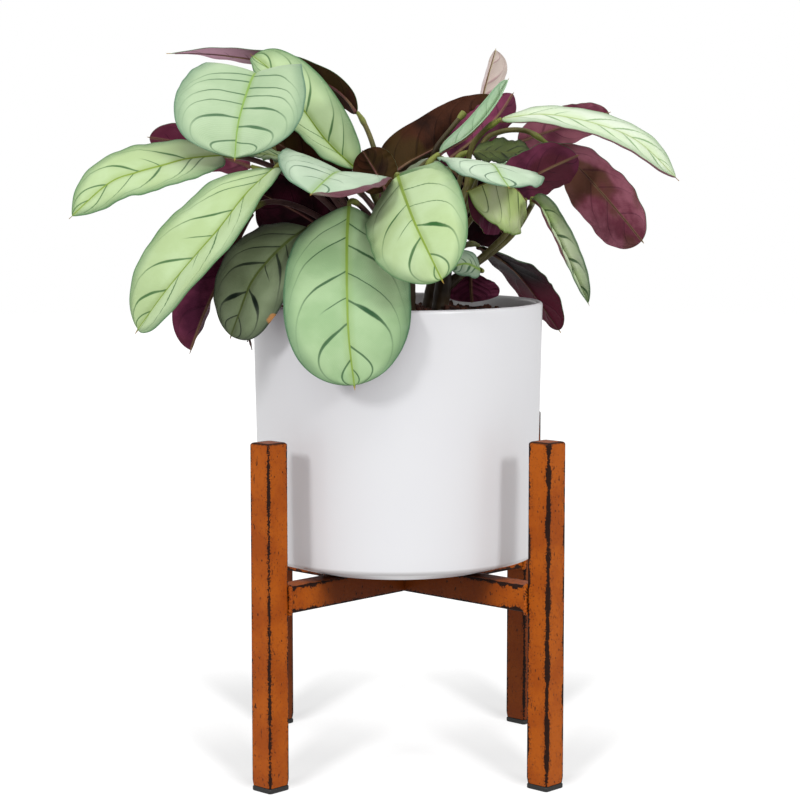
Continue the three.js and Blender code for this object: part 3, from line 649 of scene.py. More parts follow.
def loft(rings):
    """A closed body through rings of equal counts. Both ends are closed by a fan."""
    rings = np.asarray(rings, float)
    rows, columns = rings.shape[:2]
    vertices = np.vstack([rings.reshape(-1, 3), rings[0].mean(0), rings[-1].mean(0)])
    faces = grid_faces(rows, columns, ring=True)
    first = rows * columns
    last = (rows - 1) * columns
    for j in range(columns):
        k = (j + 1) % columns
        faces.append((first, k, j))
        faces.append((first + 1, last + j, last + k))
    return vertices, faces


def ring_values(values, sides):
    """One value per ring as one per vertex of its loft."""
    values = np.asarray(values, float)
    return np.concatenate([np.repeat(values, sides), [values[0], values[-1]]])


def tube_rings(points, radii, sides):
    """Rings of a tube, carried along without twist. radii is one per point, or one per point and side."""
    points = np.asarray(points, float)
    tangents = unit(np.gradient(points, axis=0))
    radii = np.broadcast_to(np.asarray(radii, float).reshape(len(points), -1), (len(points), sides))
    turn = around(sides)
    side = np.array([1.0, 0.13, 0.07])
    rings = []
    for point, tangent, radius in zip(points, tangents, radii):
        side = unit(side - tangent * (side @ tangent))
        other = np.cross(tangent, side)
        across = (radius * np.cos(turn))[:, None] * side
        rings.append(point + across + (radius * np.sin(turn))[:, None] * other)
    return rings


# Blades
def half_width(leaf, u):
    share = np.minimum(1, u / BODY_SHARE) ** leaf.get("widest", 1)
    roundness = mix(END_ROUNDNESS, leaf.get("taper", END_ROUNDNESS), share)
    body = (1 - np.abs(2 * share - 1) ** END_SHARPNESS) ** roundness
    point = np.where(u < BODY_SHARE, 0, POINT_HALF_WIDTH * (1 - u) / (1 - BODY_SHARE))
    return np.maximum(leaf["width"] / 2 * body, point)


def blade_surface(leaf, path, u, v):
    """The blade's middle surface and its upward normal, at shares u of the rib and v from -1 to 1 across."""
    along = path.along(u)
    face = np.array(leaf["face"], float)
    if "face_tip" in leaf:
        face = mix(face, np.array(leaf["face_tip"], float), u[..., None])
    side = unit(np.cross(along, face))
    normal = np.cross(side, along)
    sign = np.sign(v)
    out = np.abs(v)
    half = half_width(leaf, u)
    fold = sign**2 * np.radians(np.where(v > 0, leaf["fold"][0], leaf["fold"][1]))
    curl = math.radians(leaf.get("curl", NO_CURL))
    angle = fold + curl * out
    spread = (np.sin(angle) - np.sin(fold)) / curl
    rise = (np.cos(fold) - np.cos(angle)) / curl
    point = path.at(u) + side * (sign * half * spread)[..., None] + normal * (half * rise)[..., None]
    up = normal * np.cos(angle)[..., None] - side * (sign * np.sin(angle))[..., None]
    return point, up


def vein_starts(leaf, path, half, draw):
    """Sorted (share, kind) of the side veins of the right half (0) or the left half (1)."""
    if leaf["name"] in VEINS:
        return sorted((path.nearest_share(x, y), kind) for x, y, kind in VEINS[leaf["name"]][half])
    count = max(VEINS_LEAST, round(path.length * (VEIN_LAST - VEIN_FIRST) / VEIN_SPACING))
    gap = (VEIN_LAST - VEIN_FIRST) / count
    starts = []
    for i in range(count):
        share = VEIN_FIRST + gap * (i + 0.5 * half + VEIN_JITTER * (draw.random() - 0.5))
        starts.append((share, draw.choice(VEIN_DRAWS)))
    return starts


def vein_pitch(leaf, path):
    """How far forward a side vein runs for each unit across: by slope at once, by sweep near the edge."""
    ratio = leaf["width"] / 2 / path.length
    slope, sweep = VEER.get(leaf["name"], (VEIN_SLOPE, VEIN_SWEEP))
    return slope * ratio, sweep * ratio


def vein_distance(starts, phase):
    gaps = [np.abs(phase - share) for share, kind in starts if kind != "short"]
    return np.min(gaps, axis=0)


# Materials
def paint(red, green, blue):
    """The surface colour that looks like this screen colour, 0 to 255, in the studio's light."""
    values = [c / 255 for c in (red, green, blue)]
    values = [c / 12.92 if c <= 0.04045 else ((c + 0.055) / 1.055) ** 2.4 for c in values]
    return [c / STUDIO_LIGHT for c in values] + [1]


def operator(name, swap=False):
    def apply(self, other=0.0):
        first, second = (other, self) if swap else (self, other)
        return self.shade.math(name, first, second)
    return apply


class Value:
    """A socket of a shade that can be reckoned with like a number."""

    def __init__(self, shade, socket):
        self.shade = shade
        self.socket = socket

    __add__ = operator("ADD")
    __sub__ = operator("SUBTRACT")
    __rsub__ = operator("SUBTRACT", swap=True)
    __mul__ = operator("MULTIPLY")
    __truediv__ = operator("DIVIDE")
    __pow__ = operator("POWER")
    __abs__ = operator("ABSOLUTE")


class Shade:
    """One material's nodes around its Principled shader. The tint is its colour so far."""

    def __init__(self, name, roughness, tint, **settings):
        self.material = bpy.data.materials.new(name)
        self.material.use_nodes = True
        self.tree = self.material.node_tree
        self.shader = self.tree.nodes["Principled BSDF"]
        self.shader.inputs["Roughness"].default_value = roughness
        for socket, value in settings.items():
            self.shader.inputs[socket.replace("_", " ")].default_value = value
        self.place = self.make("TexCoord", output="Object")
        self.tint = tint

    def node(self, kind, inputs=(), **settings):
        node = self.tree.nodes.new("ShaderNode" + kind)
        for key, value in settings.items():
            setattr(node, key, value)
        for socket, value in dict(inputs).items():
            self.feed(node.inputs[socket], value)
        return node

    def make(self, kind, inputs=(), output=0, **settings):
        return Value(self, self.node(kind, inputs, **settings).outputs[output])

    def feed(self, socket, value):
        if isinstance(value, Value):
            self.tree.links.new(value.socket, socket)
        else:
            socket.default_value = value

    def math(self, operation, first, second=0.0):
        return self.make("Math", {0: first, 1: second}, operation=operation)

    def value(self, kind):
        return self.make("Attribute", output="Fac", attribute_name=kind)

    def split(self, kind, value):
        return [Value(self, output) for output in self.node("Separate" + kind, {0: value}).outputs]

    def ease(self, value, low, high):
        """0 at low to 1 at high, smoothly. high may be the smaller one."""
        inputs = {"Value": value, "From Min": low, "From Max": high}
        return self.make("MapRange", inputs, "Result", interpolation_type="SMOOTHSTEP")

    def blend(self, share, first, second):
        return self.make("Mix", {0: share, 6: first, 7: second}, 2, data_type="RGBA")

    def noise(self, size, detail=2.0, stretch=None):
        """Noise with features of that size in mm, 0 to 1. stretch makes them longer on an axis."""
        place = self.place
        if stretch:
            place = self.make("Mapping", {"Vector": place, "Scale": [1 / s for s in stretch]})
        return self.make("TexNoise", {"Vector": place, "Scale": 1 / (size * MM), "Detail": detail})

    def spots(self, size):
        """Distance to scattered points, in parts of their spacing."""
        return self.make("TexVoronoi", {"Vector": self.place, "Scale": 1 / (size * MM)}, "Distance")

    def stripes(self, phase, count):
        """So many waves along the phase, 0 to 1."""
        return self.math("SINE", phase * (count * 2 * math.pi)) * 0.5 + 0.5

    def ramp(self, value, stops, mode="LINEAR"):
        node = self.node("ValToRGB", {0: value})
        ramp = node.color_ramp
        ramp.interpolation = mode
        ramp.elements.remove(ramp.elements[1])
        ramp.elements[0].position = stops[0][0]
        for position, colour in stops[1:]:
            ramp.elements.new(position)
        for element, (position, colour) in zip(ramp.elements, stops):
            element.position = position
            element.color = colour
        return Value(self, node.outputs["Color"])

    def cover(self, share, *colour):
        """Lay a screen colour over the tint."""
        self.tint = self.blend(share, self.tint, paint(*colour))

    def finish(self, height, depth, rough=None, strength=1.0):
        """Use the tint, the roughness and a relief from a height of 0 to 1, depth mm deep."""
        self.feed(self.shader.inputs["Base Color"], self.tint)
        if rough:
            self.feed(self.shader.inputs["Roughness"], rough)
        inputs = {"Height": height, "Distance": depth * MM, "Strength": strength}
        self.feed(self.shader.inputs["Normal"], self.make("Bump", inputs))
        return self.material


def snapped(share):
    return round(min(1, max(0, share)) * RAMP_STEPS) / RAMP_STEPS


def grey(value):
    return (value, value, value, 1)


def vein_stops(starts):
    """Stops of two ramps along the rib: the distance to the nearest vein, and that vein's kind."""
    shares = [snapped(share) for share, kind in starts]
    kinds = [(*VEIN_KINDS[kind], 1) for share, kind in starts]
    distance = [(0.0, grey(shares[0]))]
    nearest = [(0.0, kinds[0])]
    for i, share in enumerate(shares):
        distance.append((share, grey(0)))
        if i + 1 < len(shares):
            middle = snapped((share + shares[i + 1]) / 2)
            distance.append((middle, grey(middle - share)))
            nearest.append((middle, kinds[i + 1]))
    distance.append((1.0, grey(1 - shares[-1])))
    return distance, nearest


def vein_nodes(shade, leaf, path, starts):
    """The veins' mask, the phase that they follow and the share across."""
    ease = shade.ease
    slope, sweep = vein_pitch(leaf, path)
    across = shade.value("across")
    out = abs(across)
    right = shade.math("GREATER_THAN", across)
    wobble = (shade.noise(16, 1.0) - 0.5) * (VEIN_WOBBLE / path.length)
    late = out ** float(SWEEP_POWER - 1)
    phase = shade.value("along") + wobble - (out * slope + late * out * sweep)
    pitch = (late * (sweep * SWEEP_POWER) + slope) / shade.value("half")
    steep = shade.math("SQRT", pitch * pitch + path.length**-2)
    halves = []
    for side in (0, 1):
        distance, nearest = vein_stops(starts[side])
        halves.append((shade.ramp(phase, distance), shade.ramp(phase, nearest, "CONSTANT")))
    apart = shade.blend(right, halves[1][0], halves[0][0]) / steep
    plain, marked, reach = shade.split("Color", shade.blend(right, halves[1][1], halves[0][1]))[:3]
    brush = marked * (ease(out, 0.08, 0.3) * ease(out, 0.66, 0.36))
    width = plain * (1.0 - out * 0.5) + brush * BRUSH_WIDTH
    mask = ease(apart, width + 0.28, width * 0.55) * ease(out, reach + 0.03, reach - 0.2)
    faint = 1.0 - ease(out, 0.5, 0.95) * 0.9
    return mask * faint * (brush * (1 - VEIN_STRENGTH) + VEIN_STRENGTH), phase, out


def tone_of(leaf, chosen, tones, plain, parts):
    """The colours of one side: those chosen for the leaf, or else for its tone, or else the plain ones."""
    tone = chosen.get(leaf["name"], chosen.get(leaf["tone"], leaf["tone"]))
    return dict(zip(parts, tones.get(tone, tones[plain])))


def add_hem(shade, edge, half_sign, first, last, width, power):
    ease, along = shade.ease, shade.value("along")
    width = along ** power * width
    hem = ease(edge, width + 0.4, width - 0.4) * shade.math("GREATER_THAN", shade.value("across") * half_sign)
    hem = hem * ease(along, first, first + 0.1) * ease(along, last + 0.08, last)
    shade.cover(hem, 112, 66, 76)


def add_scar(shade, half, path, along, across, size):
    run = (shade.value("along") - along) * path.length
    side = (shade.value("across") - across) * half
    away = shade.math("SQRT", run * run + side * side) + shade.noise(3.0) * 2.0
    shade.cover(shade.ease(away, size + 0.6, size - 0.6), 206, 146, 84)


def upper_material(leaf, path, starts):
    colours = tone_of(leaf, UPPER_OF, UPPER, "green", UPPER_PARTS)
    shade = Shade(f"leaf_{leaf['name']}_upper", 0.42, paint(*colours["blade"]), Specular_IOR_Level=0.2)
    ease, noise = shade.ease, shade.noise
    mask, phase, out = vein_nodes(shade, leaf, path, starts)
    half = shade.value("half")
    edge = half * (1.0 - out)
    inward = half * out
    cloud = noise(30, 4.0)
    stripe = shade.stripes(phase, path.length / 1.1) * 0.07
    rib_width = shade.value("along") * -0.8 + 1.15
    rib = ease(inward, rib_width + 0.3, rib_width * 0.6)
    shade.cover(ease(cloud, 0.36, 0.64), *colours["light"])
    shade.cover(ease(edge, cloud * 10.0 + 4.0, 0.4) * 0.5, *colours["edge"])
    shade.cover(stripe, *colours["vein"])
    # Painted highlights: small pale glints scattered over the blade.
    shade.cover(ease(shade.spots(3.4), 0.08, 0.03) * ease(noise(11), 0.5, 0.62) * 0.6, 226, 236, 214)
    shade.cover(ease(edge, noise(9) * 2.0 + 0.7, 0.25) * 0.8, *colours["edge"])
    shade.cover(ease(inward, 5.0, 0.6) * 0.3, *colours["rib"])
    shade.cover(mask, *colours["vein"])
    shade.cover(rib, *colours["rib"])
    if leaf["name"] in HEMS:
        add_hem(shade, edge, *HEMS[leaf["name"]])
    shade.cover(ease(shade.value("along"), 0.972, 0.99) * 0.8, 186, 132, 62)
    if leaf["name"] in SCARS:
        add_scar(shade, half, path, *SCARS[leaf["name"]])
    grain = noise(1.1)
    return shade.finish(mask * -0.4 + rib * 0.5 + stripe * 1.4 + grain * 0.16, 0.4, grain * 0.16 + 0.34)


def under_material(leaf, path, starts):
    colours = tone_of(leaf, UNDER_OF, UNDER, "plum", UNDER_PARTS)
    shade = Shade(f"leaf_{leaf['name']}_under", 0.4, paint(*colours["dark"]), Specular_IOR_Level=0.03)
    ease, noise = shade.ease, shade.noise
    mask, phase, out = vein_nodes(shade, leaf, path, starts)
    cloud = noise(26, 3.0) * 0.8 + noise(5) * 0.2
    stripe = shade.stripes(phase, path.length / 1.4)
    shade.cover(ease(cloud + out ** 2.0 * 0.14, 0.42, 0.66), *colours["light"])
    # Painted light: patches where light from behind shows green through the blade.
    shade.cover(ease(noise(42), 0.5, 0.6) * 0.75, *colours["patch"])
    if leaf["name"] in UNDER_TIP:
        shade.cover(ease(shade.value("along"), 0.45, 0.8), *UNDER_TIP[leaf["name"]])
    shade.cover(stripe * 0.12, *colours["vein"])
    shade.cover(mask * 0.5, *colours["vein"])
    shade.cover(ease(shade.value("half") * out, 1.5, 0.5) * 0.7, *colours["rib"])
    grain = noise(0.9)
    return shade.finish(mask * 0.5 + stripe * 0.14 + grain * 0.2, 0.35, grain * 0.2 + 0.34)


def rib_material():
    shade = Shade("leaf_rib", 0.45, paint(132, 104, 76), Specular_IOR_Level=0.15)
    shade.cover(shade.ease(shade.noise(14), 0.35, 0.65), 112, 66, 66)
    return shade.finish(shade.noise(1.0, stretch=(1, 1, 4)), 0.15)


def stalk_material(name):
    first, second = STALK_COLOURS[name in BROWN_SHOOTS]
    shade = Shade("stalk_" + name, 0.42, paint(*first), Specular_IOR_Level=0.2)
    ease = shade.ease
    joint = ease(shade.value("left"), PULVINUS_LENGTH + 3.0, PULVINUS_LENGTH - 3.0)
    shade.cover(ease(shade.noise(12, 3.0), 0.3, 0.7), *second)
    shade.cover(ease(shade.value("share"), 0.5, 0.05), 62, 50, 34)
    shade.cover(joint * 0.85, 140, 150, 70)
    shade.cover(ease(shade.spots(2.4), 0.16, 0.05), 60, 36, 28)
    return shade.finish(shade.noise(1.2, 3.0, stretch=(1, 1, 6)), 0.3)


def glaze_material():
    shade = Shade("pot_glaze", 0.3, paint(246, 246, 250), Coat_Weight=0.25, Coat_Roughness=0.25)
    height = shade.split("XYZ", shade.place)[2]
    # Painted shade: a warm grey band just above the low edge, where the body turns under.
    low_edge = (POT_BASE + POT_RISE + 1.0) * MM
    shade.cover(shade.noise(60), 251, 251, 253)
    shade.cover(shade.ease(abs(height - low_edge), 2.4 * MM, 0.4 * MM) * 0.3, 150, 140, 132)
    return shade.finish(shade.noise(22, 1.0), 0.2, shade.noise(30) * 0.1 + 0.28, strength=0.5)


def stand_material():
    """Burnt orange paint, worn to black along the edges, at the ends and in strokes and specks."""
    shade = Shade("stand_paint", 0.5, paint(174, 80, 8), Specular_IOR_Level=0.12)
    ease, noise = shade.ease, shade.noise
    broad = noise(22, 4.0)
    fine = noise(2.2, 4.0)
    grit = noise(0.9, 3.0)
    drift = noise(7, 4.0, stretch=(1, 1, 2.4))
    edge = shade.value("edge")
    wear = shade.value("wear")
    shade.cover(ease(broad, 0.35, 0.65), 194, 96, 14)
    shade.cover(ease(fine, 0.5, 0.75) * 0.35, 132, 54, 8)
    # The dim value darkens the paint: painted shade on the rear legs and far in on the beams under the pot,
    # and a darker cap.
    shade.cover(shade.value("dim"), 82, 30, 4)
    ragged = (ease(drift, 0.4, 0.66) * 1.5 + 0.5) * wear + grit * 3.6 - 1.15
    dark = ease(edge, ragged + 0.25, ragged - 0.25)
    ends = ease(shade.value("end"), fine * 3.4, 0.0)
    flecks = ease(grit, 0.54, 0.6) * ease(edge, wear * 4.0 + 2.0, 0.6) * ease(drift, 0.38, 0.54)
    strokes = ease(noise(1.5, 3.0, stretch=(1, 1, 2.2)), 0.64, 0.7) * 0.85
    specks = ease(shade.spots(2.2), 0.17, 0.09) * ease(noise(9), 0.42, 0.56) * 0.8
    for mark in (ends, flecks, strokes, specks):
        dark = shade.math("MAXIMUM", dark, mark)
    shade.cover(dark * 0.96, 12, 8, 8)
    return shade.finish(dark * -0.4 + fine * 0.5 + broad * 0.6, 0.3, fine * 0.2 + 0.36 + dark * 0.15)


def foot_material():
    shade = Shade("foot_plastic", 0.6, paint(18, 18, 18))
    shade.cover(shade.noise(3), 34, 33, 32)
    return shade.finish(shade.noise(1.0), 0.15)


def soil_material():
    shade = Shade("soil", 0.9, paint(46, 26, 20), Specular_IOR_Level=0.25)
    coarse = shade.noise(4.5, 4.0)
    shade.cover(shade.ease(coarse, 0.35, 0.65), 92, 54, 40)
    shade.cover(shade.ease(shade.spots(5.0), 0.22, 0.1), 120, 82, 58)
    return shade.finish(coarse + shade.noise(1.0, 3.0) * 0.5, 1.2)


# Leaves
def blade_stations():
    steps = np.arange(1, BLADE_ROWS + 1)
    return BODY_SHARE * (1 - np.cos(math.pi * steps / (BLADE_ROWS + LAST_STEP_SHARE))) / 2


def blade_columns():
    out = np.linspace(0, 1, BLADE_HALF_COLUMNS + 1)[1:]
    out = out * (0.5 + 0.5 * out)
    return np.concatenate([-out[::-1], [0], out])


def blade_relief(leaf, path, u, v, starts, draw):
    """How far the surface stands off its middle: pillows between veins and slow waves at the edge."""
    slope, sweep = vein_pitch(leaf, path)
    out = np.abs(v)
    half = half_width(leaf, u)
    phase = u - slope * out - sweep * out**SWEEP_POWER
    right, left = (np.minimum(vein_distance(side, phase) * path.length, FAR) for side in starts)
    apart = np.where(v > 0, right, left)
    fade = (1 - out**4) * np.minimum(1, half / PILLOW_FULL)
    start = step_up(out * half, 0, PILLOW_START)
    pillow = PILLOW_HEIGHT * (1 - np.exp(-((apart / PILLOW_WIDTH) ** 2))) * fade * start
    wave = np.zeros_like(u)
    for sign in (-1, 1):
        turn = 2 * math.pi * u * draw.uniform(*WAVE_COUNT)
        shift = draw.uniform(0, 2 * math.pi)
        size = WAVES.get(leaf["name"], EDGE_WAVE) * draw.uniform(*WAVE_SPREAD)
        ripple = np.sin(turn + shift) + SECOND_SIZE * np.sin(SECOND_PACE * turn - shift)
        wave += np.where(v * sign > 0, size * ripple * out**3, 0)
    return pillow, wave * np.minimum(1, half / WAVE_FULL)


def blade_faces(rows, columns):
    """The upper skin's faces, and its edge's vertices in order. The base comes first and the tip last."""
    tip = rows * columns + 1
    skin = grid_faces(rows, columns, start=1)
    last = 1 + (rows - 1) * columns
    for j in range(columns - 1):
        skin.append((0, 2 + j, 1 + j))
        skin.append((tip, last + j, last + j + 1))
    near = [1 + i * columns for i in range(rows)]
    far = [columns + i * columns for i in range(rows)]
    return skin, [0, *near, tip, *far[::-1]]


def add_leaf(leaf, rib_paint, number):
    draw = random.Random(number)
    path = through_places(leaf["rib"])
    starts = [vein_starts(leaf, path, half, draw) for half in (0, 1)]
    rows = blade_stations()
    columns = blade_columns()
    u, v = np.meshgrid(rows, columns, indexing="ij")
    u = np.concatenate([[0.0], u.ravel(), [1.0]])
    v = np.concatenate([[0.0], v.ravel(), [0.0]])
    middle, up = blade_surface(leaf, path, u, v)
    pillow, wave = blade_relief(leaf, path, u, v, starts, draw)
    upper = middle + up * (BLADE_THICKNESS / 2 + pillow + wave)[:, None]
    lower = middle + up * (-BLADE_THICKNESS / 2 + pillow * PILLOW_BELOW + wave)[:, None]
    skin, edge = blade_faces(len(rows), len(columns))
    count = len(u)
    faces = skin + [tuple(i + count for i in f[::-1]) for f in skin]
    faces += [(a, b, b + count, a + count) for a, b in zip(edge, edge[1:] + edge[:1])]
    slots = [0] * len(skin) + [1] * len(skin) + [0] * len(edge)
    form = Form("across", "along", "half")
    half = np.maximum(LEAST_HALF_WIDTH, half_width(leaf, u))
    values = dict(across=np.tile(v, 2), along=np.tile(u, 2), half=np.tile(half, 2))
    form.add(np.vstack([upper, lower]), faces, slots, **values)
    add_rib(form, leaf, path)
    materials = [upper_material(leaf, path, starts), under_material(leaf, path, starts), rib_paint]
    form.piece("blade_" + leaf["name"], materials, ["leaf_" + leaf["name"]])


def add_rib(form, leaf, path):
    """The rib stands out of the underside and runs on from the stalk."""
    u = np.linspace(0, RIB_SHARE, RIB_RINGS)
    middle, up = blade_surface(leaf, path, u, np.zeros_like(u))
    radii = mix(STALK_END_RADIUS, RIB_END_RADIUS, u**RIB_TAPER)
    points = middle - up * (radii - RIB_SINK)[:, None]
    first = points[0] - path.along(0) * STALK_GAP
    points = np.vstack([first, points])
    radii = np.concatenate([[STALK_END_RADIUS], radii])
    vertices, faces = loft(tube_rings(points, radii, RIB_SIDES))
    form.add(vertices, faces, 2)


# Shoots
def stem_point(shoot, rise):
    share = max(0, rise) / STEM_RISE
    across = shoot["at"][0] + shoot["lean"][0] * share
    back = shoot["at"][1] + shoot["lean"][1] * share
    return np.array([across, back, SOIL_TOP + rise])


def stalk_path(leaf, shoot, order):
    rib = through_places(leaf["rib"])
    along = rib.along(0)
    top = rib.at(0) - along * STALK_GAP
    foot = stem_point(shoot, LEAVE_LOWEST + LEAVE_STEP * (order % LEAVE_COUNT))
    if "stalk" in leaf:
        return through([foot, *[place(spot) for spot in leaf["stalk"]], top])
    lean = unit(stem_point(shoot, STEM_RISE) - stem_point(shoot, 0))
    span = np.linalg.norm(top - foot)
    come_in = min(COME_IN_LIMIT, COME_IN_SHARE * span)
    return bezier(foot, foot + lean * SET_OFF_SHARE * span, top - along * come_in, top)


def add_stem(form, shoot):
    rises = np.linspace(-STEM_SINK, STEM_RISE, STEM_RINGS)
    share = np.clip((rises - STEM_RISE / 2) / (STEM_RISE / 2), 0, 1)
    radii = mix(STEM_RADIUS, STEM_TOP_RADIUS, share) + STEM_SWELL * np.sin(rises * 0.8)
    wrapped = radii[:, None] * (1 + STEM_RIDGE * np.sin(3 * around(STEM_SIDES) + 0.5)[None, :])
    rings = tube_rings([stem_point(shoot, rise) for rise in rises], wrapped, STEM_SIDES)
    form.add(*loft(rings), share=0, left=FAR)


def add_stalk(form, path, at, radii, share, left):
    vertices, faces = loft(tube_rings(path.at(at), radii, STALK_SIDES))
    form.add(vertices, faces, share=ring_values(share, STALK_SIDES), left=ring_values(left, STALK_SIDES))


def add_shoot(name, shoot, material):
    form = Form("share", "left")
    add_stem(form, shoot)
    members = [leaf for leaf in LEAVES if leaf["shoot"] == name]
    for order, leaf in enumerate(members):
        path = stalk_path(leaf, shoot, order)
        share = np.linspace(0, 1, STALK_RINGS)
        left = path.length * (1 - share)
        radii = mix(STALK_FOOT_RADIUS, STALK_RADIUS, share)
        radii = radii + SHEATH_THICKNESS * (1 - step_up(share * path.length, 0, SHEATH_LENGTH))
        radii = mix(radii, PULVINUS_RADIUS, 1 - step_up(left, *PULVINUS_FADE))
        radii = mix(STALK_END_RADIUS, radii, step_up(left, 0, STALK_END_LENGTH))
        add_stalk(form, path, share, radii, share, left)
    for stray in STRAYS:
        if stray["shoot"] == name:
            share = np.linspace(0, 1, STRAY_RINGS)
            radii = mix(stray["radius"], stray["end"], step_up(share, *STRAY_END))
            left = np.where((share > STRAY_END[0]) & (stray["end"] > stray["radius"]), 0, FAR)
            add_stalk(form, through_places(stray["route"]), share, radii, share * STRAY_TINT, left)
    form.piece("stalks_" + name, [material], ["shoot_" + name])


# Pot and soil
def lathe(profile, sides):
    """A closed body from a profile of [radius, height] that starts and ends on the axis."""
    vertices, faces = loft([circle(radius, height, sides) for radius, height in profile[1:-1]])
    vertices[-2] = [0, 0, profile[0][1]]
    vertices[-1] = [0, 0, profile[-1][1]]
    return vertices + np.array([POT_X, 0, POT_BASE]), faces


def arc(x, y, radius, start, end, steps):
    angles = np.radians(np.linspace(start, end, steps + 1))
    return [(x + radius * math.cos(a), y + radius * math.sin(a)) for a in angles]


def pot_radius(height):
    return mix(POT_FOOT_RADIUS, POT_RIM_RADIUS, height / POT_HEIGHT)


def add_pot():
    lip = POT_WALL / 2
    inner = POT_FOOT_RADIUS - POT_WALL
    shoulder = POT_HEIGHT - lip - POT_RIM_GAP
    waist = POT_RISE + POT_EDGE + POT_EDGE_GAP
    flat = [(POT_FLAT_RADIUS + out, height) for out, height in POT_BEND]
    edge = (POT_FOOT_RADIUS - POT_EDGE, POT_RISE + POT_EDGE, POT_EDGE)
    low = arc(*edge, POT_SLOPE - 90, 0, POT_STEPS["edge"])
    wall = [(pot_radius(h), h) for h in np.linspace(waist, shoulder, POT_STEPS["wall"])]
    rim = arc(POT_RIM_RADIUS - lip, POT_HEIGHT - lip, lip, 0, 180, POT_STEPS["rim"])
    bottom = POT_FLOOR + POT_INNER_EDGE
    heights = np.linspace(shoulder, bottom + POT_FLOOR_GAP, POT_STEPS["inside"])
    inside = [(pot_radius(h) - POT_WALL, h) for h in heights]
    floor = arc(inner - POT_INNER_EDGE, bottom, POT_INNER_EDGE, 0, -90, POT_STEPS["floor"])[1:]
    profile = [(0, 0), *flat, *low, *wall, *rim, *inside, *floor, (0, POT_FLOOR)]
    form = Form()
    form.add(*lathe(profile, POT_SIDES))
    form.piece("pot_body", [glaze_material()], ["pot"])


def soil_height(x, y):
    radius = np.hypot(x, y)
    top = pot_radius(POT_HEIGHT) - POT_WALL - SOIL_CLEARANCE
    crown = np.where(
        radius < top * SOIL_SHOULDER,
        mix(SOIL_CROWN, 0, radius / (top * SOIL_SHOULDER)),
        mix(0, -SOIL_CROWN, (radius / top - SOIL_SHOULDER) / (1 - SOIL_SHOULDER)),
    )
    broad = SOIL_BROAD * np.sin(x * 0.31 + 1) * np.cos(y * 0.27)
    fine = SOIL_FINE * np.sin(x * 0.83 + y * 0.6) * np.cos(y * 0.9)
    return crown + (broad + fine) - SOIL_LOWER


def drawn(draw, least, more, power=1):
    return least + more * draw.random() ** power


def crumb(draw, centre, size):
    """A small lump: rings of a ball, each corner pushed in or out."""
    stretch = [drawn(draw, *CRUMB_STRETCH) for _ in range(3)]
    rings = []
    for lean in np.radians(CRUMB_RINGS):
        ring = []
        for turn in around(CRUMB_SIDES):
            radius = size * drawn(draw, *CRUMB_DENT)
            flat = radius * math.cos(lean)
            ring.append([flat * math.cos(turn), flat * math.sin(turn), radius * math.sin(lean)])
        rings.append(ring)
    vertices, faces = loft(rings)
    return vertices * stretch + centre, faces


def add_soil():
    draw = random.Random(SOIL_SEED)
    top = pot_radius(POT_HEIGHT - SOIL_DROP) - POT_WALL - SOIL_CLEARANCE
    below = [(top / 2, SOIL_DEPTH), (top - 0.6, SOIL_DEPTH), (top - 0.2, SOIL_DEPTH / 2), (top, 4)]
    rings = [circle(radius, -drop, SOIL_SIDES) for radius, drop in below]
    for share in np.linspace(1, SOIL_INNERMOST, SOIL_RINGS):
        ring = circle(top * share, 0.0, SOIL_SIDES)
        ring[:, 2] = soil_height(ring[:, 0], ring[:, 1]) + SOIL_LIFT * (share < 1)
        rings.append(ring)
    form = Form()
    vertices, faces = loft(rings)
    form.add(vertices + np.array([POT_X, 0, SOIL_TOP]), faces)
    for _ in range(CRUMBS):
        angle = draw.random() * 2 * math.pi
        distance = (top - CRUMB_MARGIN) * math.sqrt(draw.random())
        x = distance * math.cos(angle)
        y = distance * math.sin(angle)
        size = drawn(draw, *CRUMB_SIZE, power=2)
        height = SOIL_TOP + float(soil_height(x, y)) + size * CRUMB_LIFT
        form.add(*crumb(draw, [POT_X + x, y, height], size))
    form.piece("soil_surface", [soil_material()], ["soil"])


# Stand
def square_ring(half, corner, steps=5, flats=10):
    """A square outline with round corners."""
    ring = []
    inner = half - corner
    for quarter in range(4):
        turn = quarter * math.pi / 2
        points = [(inner + corner * math.cos(a), inner + corner * math.sin(a))
                  for a in np.linspace(0, math.pi / 2, steps + 1)]
        points += [(x, half) for x in np.linspace(inner, -inner, flats + 1)[1:-1]]
        for x, y in points:
            ring.append((x * math.cos(turn) - y * math.sin(turn), x * math.sin(turn) + y * math.cos(turn)))
    return np.array(ring)


def edge_distance(ring):
    return TUBE / 2 - np.min(np.abs(ring), axis=1)


def turned(vertices, angle, offset=(0, 0, 0)):
    c, s = math.cos(angle), math.sin(angle)
    vertices = np.asarray(vertices, float)
    x = vertices[:, 0] * c - vertices[:, 1] * s
    y = vertices[:, 0] * s + vertices[:, 1] * c
    return np.stack([x, y, vertices[:, 2]], axis=1) + np.array(offset, float)


def leg_place(degrees):
    """A leg's turn, and the spot where it stands."""
    turn = math.radians(degrees) + STAND_TURN
    return turn, (LEG_RADIUS * math.cos(turn), LEG_RADIUS * math.sin(turn), 0)


def upright(levels, corner):
    """A closed square body through levels of (height, inset), and its rings' distances to the edges."""
    rings = []
    edges = []
    for height, inset in levels:
        ring = square_ring(TUBE / 2 - inset, corner)
        rings.append(np.column_stack([ring, np.full(len(ring), height)]))
        edges.append(edge_distance(ring))
    return *loft(rings), edges


